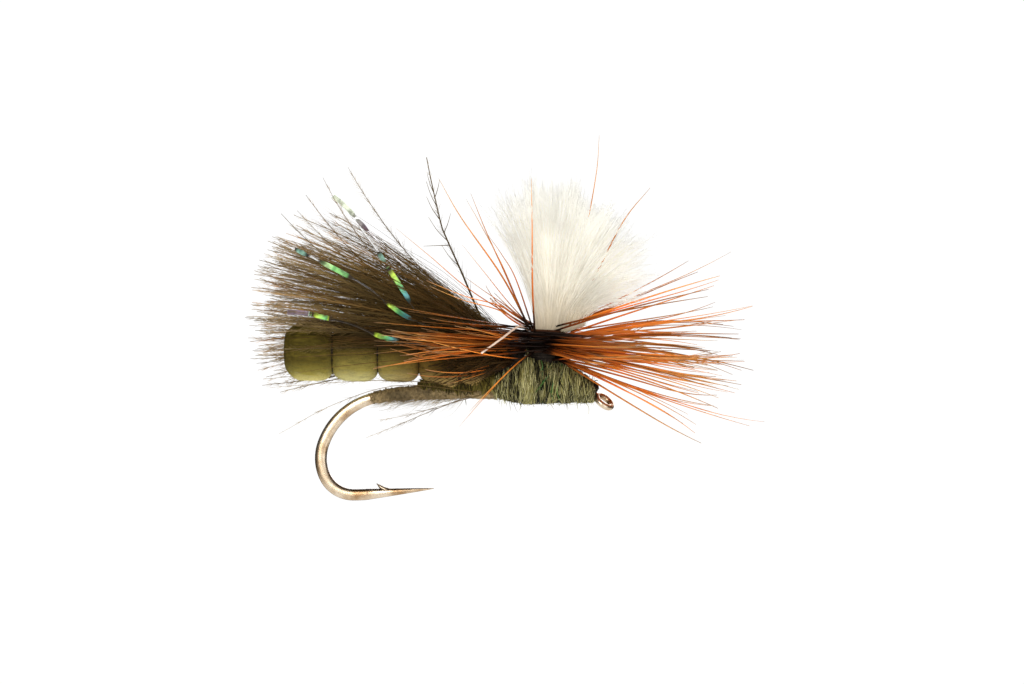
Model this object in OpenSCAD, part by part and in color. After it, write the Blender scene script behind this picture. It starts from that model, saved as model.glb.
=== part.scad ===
// Parachute dry fly with a segmented foam abdomen, tied on a barbed turned-down-eye hook.
// Millimetres. The origin is the centre of the hook's eye, +X runs forward out of the eye,
// +Z runs up the wing post and the hook's point hangs below the shank.

/* [Hook] */
// Diameter of the hook wire
wire_d = 0.56; // [0.5:0.02:0.62]
// Width across the flats where the bend is forged
forged_w = 0.42; // [0.36:0.02:0.48]
// Diameter of the wire that forms the eye
eye_wire_d = 0.32; // [0.28:0.01:0.34]
// Diameter of the hole in the eye
eye_bore_d = 0.6; // [0.56:0.02:0.62]
// Angle that the eye is turned down from the shank
eye_down = 37; // [30:1:42]
// Angle that the eye is twisted about its own length
eye_twist = 25; // [0:1:34]
// Length of the straight part of the shank
shank_straight = 5.25; // [5.1:0.05:5.4]
// Length of the spear from the bend to the point
spear_len = 3.5; // [3.2:0.1:3.8]

/* [Abdomen] */
// Radius of the rearmost foam segment
foam_r = 1.47; // [1.4:0.01:1.5]
// How much the foam radius shrinks from one segment to the next
foam_shrink = 0.05; // [0.02:0.01:0.06]
// Radius of the rounded shoulders of a segment
foam_corner = 0.55; // [0.4:0.05:0.6]
// Width of the thread band in each pinch
rib_w = 0.3; // [0.2:0.05:0.4]

/* [Wing] */
// Longest reach of the wing fibres from their tie-in
wing_reach = 13.2; // [12:0.1:13.5]
// Angle that the near and far feathers splay from the middle one
wing_splay = 11; // [10:1:14]
// Thickness of a feather's fibre layer
wing_t = 0.16; // [0.1:0.02:0.24]

/* [Post and hackle] */
// Diameter of the bound foot of the yarn post
post_d = 1.14; // [1:0.02:1.2]
// Height of the yarn's highest tip above the top of its bound foot
post_h = 7.1; // [6.5:0.1:7.5]
// Reach of the hackle barbs from the post's axis
hackle_reach = 10.4; // [9.5:0.1:10.8]
// Thickness of one layer of hackle barbs
barb_t = 0.12; // [0.08:0.02:0.16]

/* [Hidden] */
$fn = 48;

// Hook: the wire's centreline is a turtle's path in the XZ plane, made of straights and left
// turning arcs. A place on it is [x, z, heading].
function ahead(p, length) = [p[0] + length * cos(p[2]), p[1] + length * sin(p[2]), p[2]];
function after_arc(p, r, turn) =
    let (h = p[2] + turn)
    [p[0] + r * (sin(h) - sin(p[2])), p[1] - r * (cos(h) - cos(p[2])), h];

wire_r = wire_d / 2;
eye_mid_r = eye_bore_d / 2 + eye_wire_d / 2 - 0.02;
neck = [-eye_mid_r * cos(eye_down), eye_mid_r * sin(eye_down), 180 - eye_down];
neck_len = 0.49;
knee_start = ahead(neck, neck_len);
knee_radius = 0.5;
knee_turn = eye_down + 0.9;
knee_steps = 4;
shank_start = after_arc(knee_start, knee_radius, knee_turn);
arc_radius = [95, 6.3, 3.7, 2.3, 1.65, 6.5];
arc_turn = [2.6, 16, 50.6, 42.4, 66, 6.5];
arc_steps = [2, 3, 9, 8, 11, 2];
forging_arc = 1;
last_arc = len(arc_radius) - 1;
function arc_start(i) =
    i == 0 ? ahead(shank_start, shank_straight) : after_arc(arc_start(i - 1), arc_radius[i - 1], arc_turn[i - 1]);
spear_start = after_arc(arc_start(last_arc), arc_radius[last_arc], arc_turn[last_arc]);
spear_steps = 5;
point_r = 0.02;
barb_back = 2.6;
barb_len = 0.5;

// Half the wire's width across the forged flats, k steps into arc i.
function flat_half(i, k) =
    i < forging_arc ? wire_r :
    i > forging_arc ? forged_w / 2 :
    wire_r + (forged_w / 2 - wire_r) * k / arc_steps[i];

// Stations along the wire: [place, radius in the XZ plane, half width along Y].
knee_stations = concat(
    [[neck, eye_wire_d / 2, eye_wire_d / 2]],
    [for (k = [0 : knee_steps])
        let (r = eye_wire_d / 2 + (wire_r - eye_wire_d / 2) * k / knee_steps)
        [after_arc(knee_start, knee_radius, knee_turn * k / knee_steps), r, r]]
);
arc_stations = [for (i = [0 : last_arc], k = [0 : arc_steps[i] - 1])
    [after_arc(arc_start(i), arc_radius[i], arc_turn[i] * k / arc_steps[i]), wire_r, flat_half(i, k)]
];
spear_stations = [for (k = [0 : spear_steps])
    let (r = point_r + (wire_r - point_r) * pow(1 - k / spear_steps, 0.8))
    [ahead(spear_start, spear_len * k / spear_steps), r, min(r, forged_w / 2)]
];

// Thread base on the shank
base_turn = 11;
base_r = wire_r + 0.08;
base_front_r = 0.46;
base_front_len = 0.75;
binding_gap = 0.01;
base_front = ahead(shank_start, shank_straight - base_front_len);
base_places = concat(
    [arc_start(0)],
    [for (k = [1 : 2]) after_arc(arc_start(0), arc_radius[0], arc_turn[0] * k / 2)],
    [for (k = [1 : 3]) after_arc(arc_start(1), arc_radius[1], base_turn * k / 3)]
);

// Abdomen: a foam rod whose axis dips slightly towards the front
foam_rear = [-16.6, 0, 2.62];
foam_dip = 2;
foam_ribs = [0, 2.5, 4.85, 7.0, 9.05];
foam_segments = len(foam_ribs) - 1;
foam_front = [-7.75, 0, 2.3];
foam_tied = [-5.9, 0, 1.2];
function segment_r(i) = foam_r - foam_shrink * i;
rib_r = segment_r(foam_segments - 1) - foam_corner;

// Thorax: rings of [x, centre height, radius] from its rear to its front
thorax_rings = [
    [-5.7, 0.87, 0.60], [-5.3, 0.99, 0.92], [-4.7, 1.06, 1.15], [-4.0, 1.08, 1.24],
    [-3.2, 1.06, 1.19], [-2.4, 0.93, 1.04], [-1.7, 0.75, 0.8], [-1.05, 0.60, 0.56]
];

// Wing: every feather fans out of one root above the shank
wing_root = [-5.0, 0, 2.8];
wing_side_y = 0.7;
wing_low = 189;
wing_high = 128;
fan_middle = 165;
fan_rounding = 0.0009;
fan_valley = 0.72;
wing_hub = 0.25;
function wing_length(a) = wing_reach - fan_rounding * pow(a - fan_middle, 2);

// Post and hackle
post_axis = [-3.05, 0, 0];
post_foot = 0.92;
post_top = 3.75;
wrap_r = 0.84;
hackle_z = 3.0;
quill_r = 0.11;
quill_turns = 4.5;
quill_top = 3.75;
quill_bottom = 2.45;
barb_hub = wrap_r + 2 * quill_r + 0.04;
barb_root = barb_hub + 0.5;
group_half = 42;
band_half_angle = 44.5;
wing_gap = 24;

// ---------- helpers ----------

// Uneven tip lengths, the same every time: 1 for the longest and 1 - depth for the shortest.
function uneven(i, depth) = 1 - depth * (0.5 + 0.5 * sin(137.5 * i + 40));

// Closed skin through a list of rings, each a list of the same number of points. A looped skin
// joins its last ring to its first; any other is capped at both ends.
module skin(rings, looped = false) {
    n = len(rings[0]);
    count = len(rings);
    last = count - 1;
    function middle(ring) = [for (k = [0 : n - 1]) 1] * ring / n;
    points = concat([for (ring = rings) each ring], looped ? [] : [middle(rings[0]), middle(rings[last])]);
    sides = [for (k = [0 : looped ? last : last - 1], j = [0 : n - 1])
        let (next = (k + 1) % count, side = (j + 1) % n)
        each [
            [k * n + j, next * n + j, next * n + side],
            [k * n + j, next * n + side, k * n + side]
        ]];
    ends = [for (j = [0 : n - 1]) each [
        [n * count, j, (j + 1) % n],
        [n * count + 1, last * n + (j + 1) % n, last * n + j]
    ]];
    polyhedron(points = points, faces = concat(sides, looped ? [] : ends));
}

// A flat layer of pointed fibres in the XY plane, between two angles. It starts at radius hub,
// parts into fibres at the radii in valleys and ends at the radii in tips.
module fibre_layer(from, to, hub, valleys, tips, thickness) {
    count = len(tips);
    step = (to - from) / count;
    half = thickness / 2;
    function place(r, i, z) = [r * cos(from + i * step), r * sin(from + i * step), z];
    // Four points for every gap between fibres: hub and valley, above and below.
    gaps = [for (i = [0 : count]) each [
        place(hub, i, half), place(hub, i, -half), place(valleys[i], i, half), place(valleys[i], i, -half)
    ]];
    points = concat(gaps, [for (i = [0 : count - 1]) place(tips[i], i + 0.5, 0)]);
    first_tip = len(gaps);
    end = 4 * count;
    fibres = [for (i = [0 : count - 1])
        let (a = 4 * i, b = 4 * i + 4, tip = first_tip + i)
        each [
            [a, tip, a + 2], [a, b + 2, tip], [a, b, b + 2],
            [a + 1, a + 3, tip], [a + 1, tip, b + 3], [a + 1, b + 3, b + 1],
            [a + 2, tip, a + 3], [b + 2, b + 3, tip],
            [a, a + 1, b], [b, a + 1, b + 1]
        ]];
    ends = [[0, 2, 3], [0, 3, 1], [end, end + 3, end + 2], [end, end + 1, end + 3]];
    polyhedron(points = points, faces = concat(fibres, ends));
}

// A round tube through a list of 3D points.
function unit(v) = v / norm(v);
module tube(route, r, sides = 8) {
    last = len(route) - 1;
    skin([for (i = [0 : last])
        let (
            t = unit(route[min(i + 1, last)] - route[max(i - 1, 0)]),
            u = unit(cross(t, [0, 0.1, 1])),
            v = cross(t, u)
        )
        [for (j = [0 : sides - 1]) route[i] + r * (cos(360 * j / sides) * u + sin(360 * j / sides) * v)]
    ]);
}

// A straight tapered rod from one point to another.
module rod(from, to, r_from, r_to) {
    d = to - from;
    translate(from)
        rotate([0, acos(d[2] / norm(d)), atan2(d[1], d[0])])
            cylinder(h = norm(d), r1 = r_from, r2 = r_to, $fn = 24);
}

// A lathe shape along +X with its profile given as [along, radius] points.
module lathe_x(profile) {
    rotate([0, 90, 0])
        rotate_extrude()
            polygon([for (p = profile) [p[1], p[0]]]);
}

// ---------- hook ----------

// Rings through stations of [place, radius, half width along Y]; the section's sides are cut flat
// where the half width is less than the radius.
function wire_rings(stations) = [for (s = stations)
    let (p = s[0], r = s[1], flat = s[2], sides = 16)
    [for (j = [0 : sides - 1])
        let (a = 360 * j / sides)
        [
            p[0] - r * cos(a) * sin(p[2]),
            max(-flat, min(flat, -r * sin(a))),
            p[1] + r * cos(a) * cos(p[2])
        ]]
];

module wire(stations) {
    skin(wire_rings(stations));
}

module along_heading(p) {
    translate([p[0], 0, p[1]])
        rotate([0, 90 - p[2], 0])
            children();
}

module eye_frame() {
    rotate([0, eye_down, 0])
        rotate([eye_twist, 0, 0])
            children();
}

module eye_ring() {
    eye_frame()
        rotate_extrude()
            translate([eye_mid_r, 0])
                circle(d = eye_wire_d, $fn = 32);
}

module hook() {
    barb = ahead(spear_start, spear_len - barb_back);
    barb_tip = [barb[0] - 0.75 * barb_len, 0, barb[1] + 0.8 * barb_len];
    color("peru") {
        wire(concat(knee_stations, arc_stations, spear_stations));
        rod([barb[0], 0, barb[1]], barb_tip, 0.16, 0.015);
        difference() {
            eye_ring();
            eye_frame()
                cylinder(h = 1, d = eye_bore_d, center = true);
        }
    }
}

// The straight of the shank, which the soft materials are bound round.
module shank() {
    along_heading(shank_start)
        cylinder(h = shank_straight, r = wire_r);
}

// ---------- thread, foam and fur on the shank ----------

module base_front_cone() {
    along_heading(base_front)
        cylinder(h = base_front_len, r1 = base_front_r, r2 = base_r);
}

module shank_thread_base() {
    places = concat([base_front], base_places);
    last = len(places) - 1;
    outside = [for (i = [0 : last]) let (r = i == 0 ? base_front_r : base_r) [places[i], r, r]];
    inside = [for (i = [last : -1 : 0]) [places[i], wire_r + binding_gap, wire_r + binding_gap]];
    color("dimgray")
        skin(wire_rings(concat(outside, inside)), looped = true);
}

module foam_frame() {
    translate(foam_rear)
        rotate([0, foam_dip, 0])
            children();
}

// Half outline of one rounded segment, from its rear pinch to its front pinch.
function segment_outline(i) =
    let (r = segment_r(i), a = foam_ribs[i], b = foam_ribs[i + 1], c = foam_corner)
    concat(
        [for (k = [0 : 5]) [a + c - c * cos(18 * k), r - c + c * sin(18 * k)]],
        [for (k = [0 : 5]) [b - c + c * sin(18 * k), r - c + c * cos(18 * k)]]
    );

module abdomen_foam() {
    color("olive")
        difference() {
            union() {
                foam_frame()
                    lathe_x(concat(
                        [[0, 0]],
                        [for (i = [0 : foam_segments - 1]) each segment_outline(i)],
                        [[foam_ribs[foam_segments], 0]]
                    ));
                rod(foam_front, foam_tied, 0.95, 0.3);
            }
            for (i = [1 : foam_segments])
                rib_ring(i);
        }
}

// Ring of thread turns in the i-th pinch.
module rib_ring(i) {
    foam_frame()
        translate([foam_ribs[i] - rib_w / 2, 0, 0])
            lathe_x([[0, rib_r - 0.06], [0, rib_r + 0.08], [rib_w, rib_r + 0.08], [rib_w, rib_r - 0.06]]);
}

module rib_band(i) {
    color("darkslategray")
        rib_ring(i);
}

module abdomen_tie_in() {
    color("darkolivegreen")
        difference() {
            translate([-6.75, 0, 0.86])
                lathe_x([[0, 0], [0, 0.42], [0.3, 0.62], [0.75, 0.64], [1.0, 0.55], [1.0, 0]]);
            shank();
            rod(foam_front, foam_tied, 0.95, 0.3);
            base_front_cone();
        }
}

module thorax_shape() {
    sides = 24;
    skin([for (ring = thorax_rings)
        [for (j = [0 : sides - 1])
            [ring[0], ring[2] * cos(360 * j / sides), ring[1] + ring[2] * sin(360 * j / sides)]]
    ]);
}

module thorax_dubbing() {
    color("olivedrab")
        difference() {
            thorax_shape();
            shank();
            translate(post_axis + [0, 0, post_foot - 0.05])
                cylinder(h = 3, r = wrap_r + 0.02);
        }
}

module head_thread() {
    color("black")
        difference() {
            translate([-0.72, 0, 0.6])
                rotate([0, 32, 0])
                    lathe_x([[-0.3, 0], [-0.3, 0.46], [-0.05, 0.5], [0.15, 0.42], [0.3, 0.3], [0.3, 0]]);
            wire(concat(knee_stations, [[ahead(shank_start, 1), wire_r, wire_r]]));
            eye_ring();
            thorax_shape();
        }
}

// ---------- wing ----------

// One feather as a thin layer of fibres in the XZ plane; side is -1 near, 0 middle, 1 far.
module wing_feather(side, from, to, count) {
    step = (to - from) / count;
    valleys = [for (i = [0 : count]) fan_valley * wing_length(from + i * step)];
    tips = [for (i = [0 : count - 1]) wing_length(from + (i + 0.5) * step) * uneven(i, 0.09)];
    color("saddlebrown")
        translate(wing_root + [0, side * wing_side_y, 0])
            rotate([0, 0, -side * wing_splay])
                rotate([90, 0, 0])
                    fibre_layer(from, to, wing_hub, valleys, tips, wing_t);
}

// The bare feather tip: a tapering stem with a few short barb stubs near its end.
module wing_stem_feather() {
    foot = [-6.3, 0.9, 4.4];
    tip = [-9.2, 1.6, 12.7];
    color("gray") {
        rod(foot, tip, 0.09, 0.03);
        for (k = [0.45, 0.55, 0.62, 0.72, 0.8])
            rod(foot + k * (tip - foot), foot + k * (tip - foot) + [-0.7, 0, 0.9], 0.04, 0.015);
    }
}

module wing_tie_in() {
    color("darkslategray")
        difference() {
            translate([-5.15, 0, 2.35])
                rotate([0, 35, 0])
                    lathe_x([[-0.45, 0], [-0.45, 0.45], [-0.2, 0.6], [0.25, 0.6], [0.5, 0.45], [0.5, 0]]);
            thorax_shape();
            for (side = [-1 : 1])
                wing_feather(side, wing_high, wing_low, 4);
        }
}

// A flat film strand along a route of [x, z] points, standing beside the near feather.
module flash_strand(route, y) {
    half_w = 0.15;
    film_t = 0.05;
    last = len(route) - 1;
    function across(i) =
        let (t = unit(route[min(i + 1, last)] - route[max(i - 1, 0)]))
        [-t[1], t[0]] * half_w;
    color("yellowgreen")
        translate([0, y, 0])
            rotate([90, 0, 0])
                linear_extrude(film_t, center = true)
                    polygon(concat(
                        [for (i = [0 : last]) route[i] + across(i)],
                        [for (i = [last : -1 : 0]) route[i] - across(i)]
                    ));
}

// ---------- post ----------

brush_mid = 66;
brush_half = 46;
brush_half_y = 1.5;

// A point of the flared brush: t runs from its foot to its top and a runs round it.
function brush_point(t, a) =
    let (
        lean = brush_mid - brush_half * cos(a) * min(1, 0.25 + t),
        reach = post_h * t * (1 - 0.13 * (1 + cos(a)) / 2)
    )
    post_axis + [
        post_d / 2 * cos(a) * (1 - t) + reach * cos(lean),
        (post_d / 2 * (1 - t) + brush_half_y * t) * sin(a),
        post_top + reach * sin(lean)
    ];

module post_yarn() {
    foot = [for (j = [0 : 23]) brush_point(0, 15 * j) - [0, 0, post_top - post_foot]];
    brush = [for (t = [0, 0.08, 0.2, 0.4, 0.6, 0.8, 0.93, 1])
        [for (j = [0 : 23]) brush_point(t, 15 * j)]
    ];
    color("white")
        skin(concat([foot], brush));
}

module post_thread_wraps() {
    color("black")
        translate(post_axis + [0, 0, post_foot + 0.35])
            rotate_extrude()
                polygon([
                    [post_d / 2, 0], [wrap_r - 0.1, 0], [wrap_r, 0.3],
                    [wrap_r, 2.2], [wrap_r - 0.12, 2.45], [post_d / 2, 2.45]
                ]);
}

// ---------- hackle ----------

// The stem enters from its cut butt and winds down round the post.
module hackle_quill() {
    wound_r = wrap_r + quill_r + 0.01;
    steps = 20;
    start = 200;
    butt = [[-6.3, -1.9, 2.5], [-5.2, -1.35, 3.35], [-4.3, -0.85, 3.75]];
    helix = [for (k = [0 : steps * quill_turns])
        post_axis + [
            wound_r * cos(start + 360 * k / steps),
            wound_r * sin(start + 360 * k / steps),
            quill_top - (quill_top - quill_bottom) * k / (steps * quill_turns)
        ]];
    color("wheat")
        tube(concat(butt, helix), quill_r, 6);
}

module at_hackle() {
    translate(post_axis + [0, 0, hackle_z])
        children();
}

module barb_layer(count, from, to, reach) {
    fibre_layer(
        from, to, barb_hub,
        [for (i = [0 : count]) barb_root],
        [for (i = [0 : count - 1]) reach * uneven(i, 0.12)],
        barb_t
    );
}

// Barbs on one side of the post: layers of pointed fibres that share a root band.
module barb_group(azimuth, tilts, reach, band_half) {
    color("sienna")
        at_hackle()
            rotate([0, 0, azimuth]) {
                for (tilt = tilts)
                    rotate([0, -tilt, 0])
                        barb_layer(16, -group_half, group_half, reach);
                rotate([0, 0, -band_half_angle])
                    rotate_extrude(angle = 2 * band_half_angle)
                        translate([barb_hub, -band_half])
                            square([0.35, 2 * band_half]);
            }
}

// The rear barbs leave the wing and the abdomen free between them.
module rear_barb_group(tilts, reach) {
    color("sienna")
        at_hackle()
            rotate([0, 0, 180]) {
                for (tilt = tilts, side = [-1, 1])
                    rotate([0, -tilt, 0])
                        rotate([0, 0, side * (wing_gap + group_half) / 2])
                            barb_layer(5, -(group_half - wing_gap) / 2, (group_half - wing_gap) / 2, reach);
                rotate([0, 0, -band_half_angle])
                    rotate_extrude(angle = 2 * band_half_angle)
                        translate([barb_hub, -0.5])
                            square([0.22, 1]);
            }
}

// A few barbs that stand up beside the post, on one more turn of the stem.
module hackle_barbs_upright() {
    tips = [
        [-0.3, -3.2, 13.75], [2.3, -3.0, 11.0], [-3.8, -2.8, 11.3],
        [-8.5, -2.4, 11.5], [-6.8, 2.6, 10.6]
    ];
    ring_r = barb_hub + 0.1;
    root_z = hackle_z + 0.95;
    color("chocolate") {
        translate(post_axis + [0, 0, root_z - 0.12])
            rotate_extrude()
                translate([barb_hub, 0])
                    square([0.2, 0.24]);
        for (tip = tips)
            let (
                d = [tip[0], tip[1]] - [post_axis[0], post_axis[1]],
                root = post_axis + [ring_r * d[0] / norm(d), ring_r * d[1] / norm(d), root_z]
            )
            rod(root, tip, 0.07, 0.02);
    }
}

hook();
shank_thread_base();
abdomen_foam();
rib_band(1);  // rib_band_1
rib_band(2);  // rib_band_2
rib_band(3);  // rib_band_3
rib_band(4);  // rib_band_4
abdomen_tie_in();
wing_feather(-1, 140, wing_low, 22);  // wing_feather_near
wing_feather(0, wing_high, 171, 20);  // wing_feather_middle
wing_feather(1, 140, wing_low, 22);  // wing_feather_far
wing_stem_feather();
wing_tie_in();
flash_strand([[-15.8, 7.8], [-13.8, 6.7], [-12.2, 6.0], [-10.3, 4.7]], -3.1);  // flash_strand_1
flash_strand([[-11.5, 7.6], [-11.0, 6.7], [-10.2, 5.5], [-9.6, 4.8]], -2.5);  // flash_strand_2
flash_strand([[-16.3, 4.6], [-14.8, 4.4], [-13.0, 4.0], [-11.8, 3.5], [-10.4, 3.05]], -3.3);  // flash_strand_3
flash_strand([[-13.7, 10.4], [-12.9, 9.6], [-12.0, 8.7], [-10.6, 7.4]], -0.4);  // flash_strand_4
post_yarn();
post_thread_wraps();
hackle_quill();
barb_group(0, [22, 7, -8, -23], hackle_reach + 0.6, 0.75);  // hackle_barbs_front
rear_barb_group([14, -2], hackle_reach - 0.8);  // hackle_barbs_rear
barb_group(270, [12, -2, -14], hackle_reach, 0.5);  // hackle_barbs_near
barb_group(90, [12, -2, -14], hackle_reach, 0.5);  // hackle_barbs_far
hackle_barbs_upright();
thorax_dubbing();
head_thread();
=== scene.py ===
"""Looks of a parachute dry fly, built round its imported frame.

Every helper works in millimetres in the frame's own axes: the origin is the centre of the hook's
eye, +X runs forward along the shank and +Z runs up the wing post. build() turns them to metres.
"""

import math

import bpy
import numpy as np
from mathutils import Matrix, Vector


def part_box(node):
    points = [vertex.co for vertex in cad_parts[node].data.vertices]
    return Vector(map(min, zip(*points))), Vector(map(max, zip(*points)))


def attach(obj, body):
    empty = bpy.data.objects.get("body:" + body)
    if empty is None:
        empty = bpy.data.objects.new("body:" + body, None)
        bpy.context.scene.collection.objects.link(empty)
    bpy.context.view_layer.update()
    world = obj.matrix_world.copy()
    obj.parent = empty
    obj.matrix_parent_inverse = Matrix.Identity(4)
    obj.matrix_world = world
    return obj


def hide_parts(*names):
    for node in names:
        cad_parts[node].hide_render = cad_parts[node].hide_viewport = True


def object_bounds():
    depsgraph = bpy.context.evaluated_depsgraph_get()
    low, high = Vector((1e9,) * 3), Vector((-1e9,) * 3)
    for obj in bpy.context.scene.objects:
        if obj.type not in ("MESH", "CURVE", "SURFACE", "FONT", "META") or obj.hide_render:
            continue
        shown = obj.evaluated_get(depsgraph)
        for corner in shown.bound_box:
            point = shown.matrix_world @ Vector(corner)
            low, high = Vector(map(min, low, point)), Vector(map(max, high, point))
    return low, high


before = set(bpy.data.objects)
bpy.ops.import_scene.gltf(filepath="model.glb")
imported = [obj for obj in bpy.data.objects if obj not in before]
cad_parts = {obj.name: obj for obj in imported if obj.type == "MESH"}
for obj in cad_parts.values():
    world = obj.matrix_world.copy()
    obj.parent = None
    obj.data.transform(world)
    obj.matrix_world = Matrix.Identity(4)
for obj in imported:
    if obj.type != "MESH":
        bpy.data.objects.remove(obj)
cad_box = [list(corner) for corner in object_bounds()]

MM = 0.001
BODY = "root"
AHEAD, ACROSS, WAY_UP = np.eye(3)


def corners(node):
    """The node's lowest and highest corners, in millimetres."""
    low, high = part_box(node)
    return np.array(low) / MM, np.array(high) / MM


def seeded(name):
    """A random stream of its own for each piece, so one piece can change without the others."""
    return np.random.default_rng([ord(letter) for letter in name])


# ---------------------------------------------------------------- small geometry helpers


def unit(v):
    return v / np.maximum(np.linalg.norm(v, axis=-1, keepdims=True), 1e-12)


def xyz(x, y, z):
    """Points or vectors from coordinates that broadcast together."""
    return np.stack(np.broadcast_arrays(x, y, z), -1)


def polar(azimuth, elevation):
    """Unit vectors from angles in degrees: azimuth from +X towards +Y, elevation above level."""
    a, e = np.radians(azimuth), np.radians(elevation)
    return xyz(np.cos(a) * np.cos(e), np.sin(a) * np.cos(e), np.sin(e))


def full_turn(count):
    """count angles spaced evenly round a circle."""
    return np.linspace(0, 2 * np.pi, count, endpoint=False)


def rod(line, radius, sides, across=ACROSS, up=WAY_UP):
    """Rings of a round rod along line (m, 3), with one radius a ring (m,) or one a point (m, sides)."""
    a = full_turn(sides)[:, None]
    return line[:, None] + radius.reshape(len(line), -1, 1) * (np.cos(a) * across + np.sin(a) * up)


def smooth_path(points, count):
    """count points evenly spaced on a Catmull-Rom curve through a few points."""
    p = np.asarray(points, float)
    p = np.vstack([2 * p[0] - p[1], p, 2 * p[-1] - p[-2]])
    fine = []
    for i in range(1, len(p) - 2):
        t = np.linspace(0, 1, 40, endpoint=False)[:, None]
        a, b, c, d = p[i - 1 : i + 3]
        fine.append(0.5 * (2 * b + (c - a) * t + (2 * a - 5 * b + 4 * c - d) * t**2
                           + (3 * b - a - 3 * c + d) * t**3))
    fine = np.vstack(fine + [p[-2:-1]])
    length = np.concatenate([[0], np.cumsum(np.linalg.norm(np.diff(fine, axis=0), axis=1))])
    at = np.linspace(0, length[-1], count)
    return np.stack([np.interp(at, length, fine[:, k]) for k in range(fine.shape[1])], 1)


def bowed(start, end, bow, count):
    """Paths of count points from starts to ends, pushed sideways by bow in the middle."""
    t = np.linspace(0, 1, count)[None, :, None]
    return start[:, None] + (end - start)[:, None] * t + bow[:, None] * 4 * t * (1 - t)


def tubes(paths, radii, sides, tone=0.5, kind=0.0, ref=None, flat=1.0, along=None):
    """Closed tubes along paths (n, m, 3) with radii that broadcast to (n, m).

    Each vertex gets a shade: how far along its tube it is, the tube's tone and its kind.
    flat squashes the section across the ref direction."""
    paths = np.asarray(paths, float)
    n, m, _ = paths.shape
    radii = np.broadcast_to(radii, (n, m))
    tangent = unit(np.gradient(paths, axis=1))
    if ref is None:
        run = unit(paths[:, -1] - paths[:, 0])
        ref = np.cross(run, np.where(np.abs(run[:, 2:]) > 0.8, ACROSS, WAY_UP))[:, None]
    u = unit(ref - (ref * tangent).sum(-1, keepdims=True) * tangent)
    v = np.cross(tangent, u)
    angle = full_turn(sides)[:, None]
    round_u = np.cos(angle) * u[:, :, None]
    round_v = np.sin(angle) * v[:, :, None] * flat
    points = paths[:, :, None] + radii[:, :, None, None] * (round_u + round_v)
    j = np.arange(sides)
    k = np.arange(m - 1)[:, None] * sides
    quad = np.stack([k + j, k + (j + 1) % sides, k + sides + (j + 1) % sides, k + sides + j], -1)
    fan = np.arange(1, sides - 1)
    top = (m - 1) * sides
    caps = np.concatenate([
        np.stack([0 * fan, fan + 1, fan], -1),
        np.stack([top + 0 * fan, top + fan, top + fan + 1], -1),
    ])
    offset = np.arange(n)[:, None, None] * m * sides
    if along is None:
        along = np.linspace(0, 1, m)
    shade = np.zeros((n, m, sides, 3))
    shade[..., 0] = along[..., None]
    shade[..., 1] = np.reshape(tone, (-1, 1, 1))
    shade[..., 2] = np.reshape(kind, (-1, 1, 1))
    return (
        points.reshape(-1, 3),
        (quad.reshape(1, -1, 4) + offset).reshape(-1, 4),
        (caps[None] + offset).reshape(-1, 3),
        shade.reshape(-1, 3),
    )


def skin(rings, tone=0.5):
    """A closed skin through rings (m, k, 3), capped at both ends."""
    m, k, _ = rings.shape
    j = np.arange(k)
    r = np.arange(m - 1)[:, None] * k
    quad = np.stack([r + j, r + (j + 1) % k, r + k + (j + 1) % k, r + k + j], -1).reshape(-1, 4)
    first, last = m * k, m * k + 1
    caps = np.concatenate([
        np.stack([0 * j + first, (j + 1) % k, j], -1),
        np.stack([0 * j + last, (m - 1) * k + j, (m - 1) * k + (j + 1) % k], -1),
    ])
    points = np.concatenate([rings.reshape(-1, 3), rings[0].mean(0)[None], rings[-1].mean(0)[None]])
    shade = np.zeros((len(points), 3))
    shade[: m * k, 0] = np.repeat(np.linspace(0, 1, m), k)
    shade[-1, 0] = 1
    shade[:, 1] = tone
    return points, quad, caps, shade


def windings(centre, radius, turns, thread_r, rng, per_turn=20, jitter=0.15, lean=0.0):
    """Thread wound side by side round a centreline (m, 3) with radii (m,), as one tube."""
    s = np.linspace(0, 1, turns * per_turn + 1)
    at = np.linspace(0, 1, len(centre))
    c = np.stack([np.interp(s, at, centre[:, k]) for k in range(3)], 1)
    axis = unit(np.gradient(c, axis=0))
    side = unit(np.cross(axis, WAY_UP))
    up = np.cross(side, axis)
    phase = 2 * np.pi * turns * s
    uneven = np.interp(s * turns, np.arange(turns + 2), rng.normal(size=turns + 2))
    r = np.interp(s, at, radius) + thread_r + thread_r * jitter * uneven
    slide = lean * np.sin(phase)[:, None] * axis
    path = c + r[:, None] * (np.cos(phase)[:, None] * up + np.sin(phase)[:, None] * side) + slide
    return tubes(path[None], thread_r, 6, ref=axis[None])


def add_object(name, data):
    added = bpy.data.objects.new(name, data)
    bpy.context.scene.collection.objects.link(added)
    return added


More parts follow.
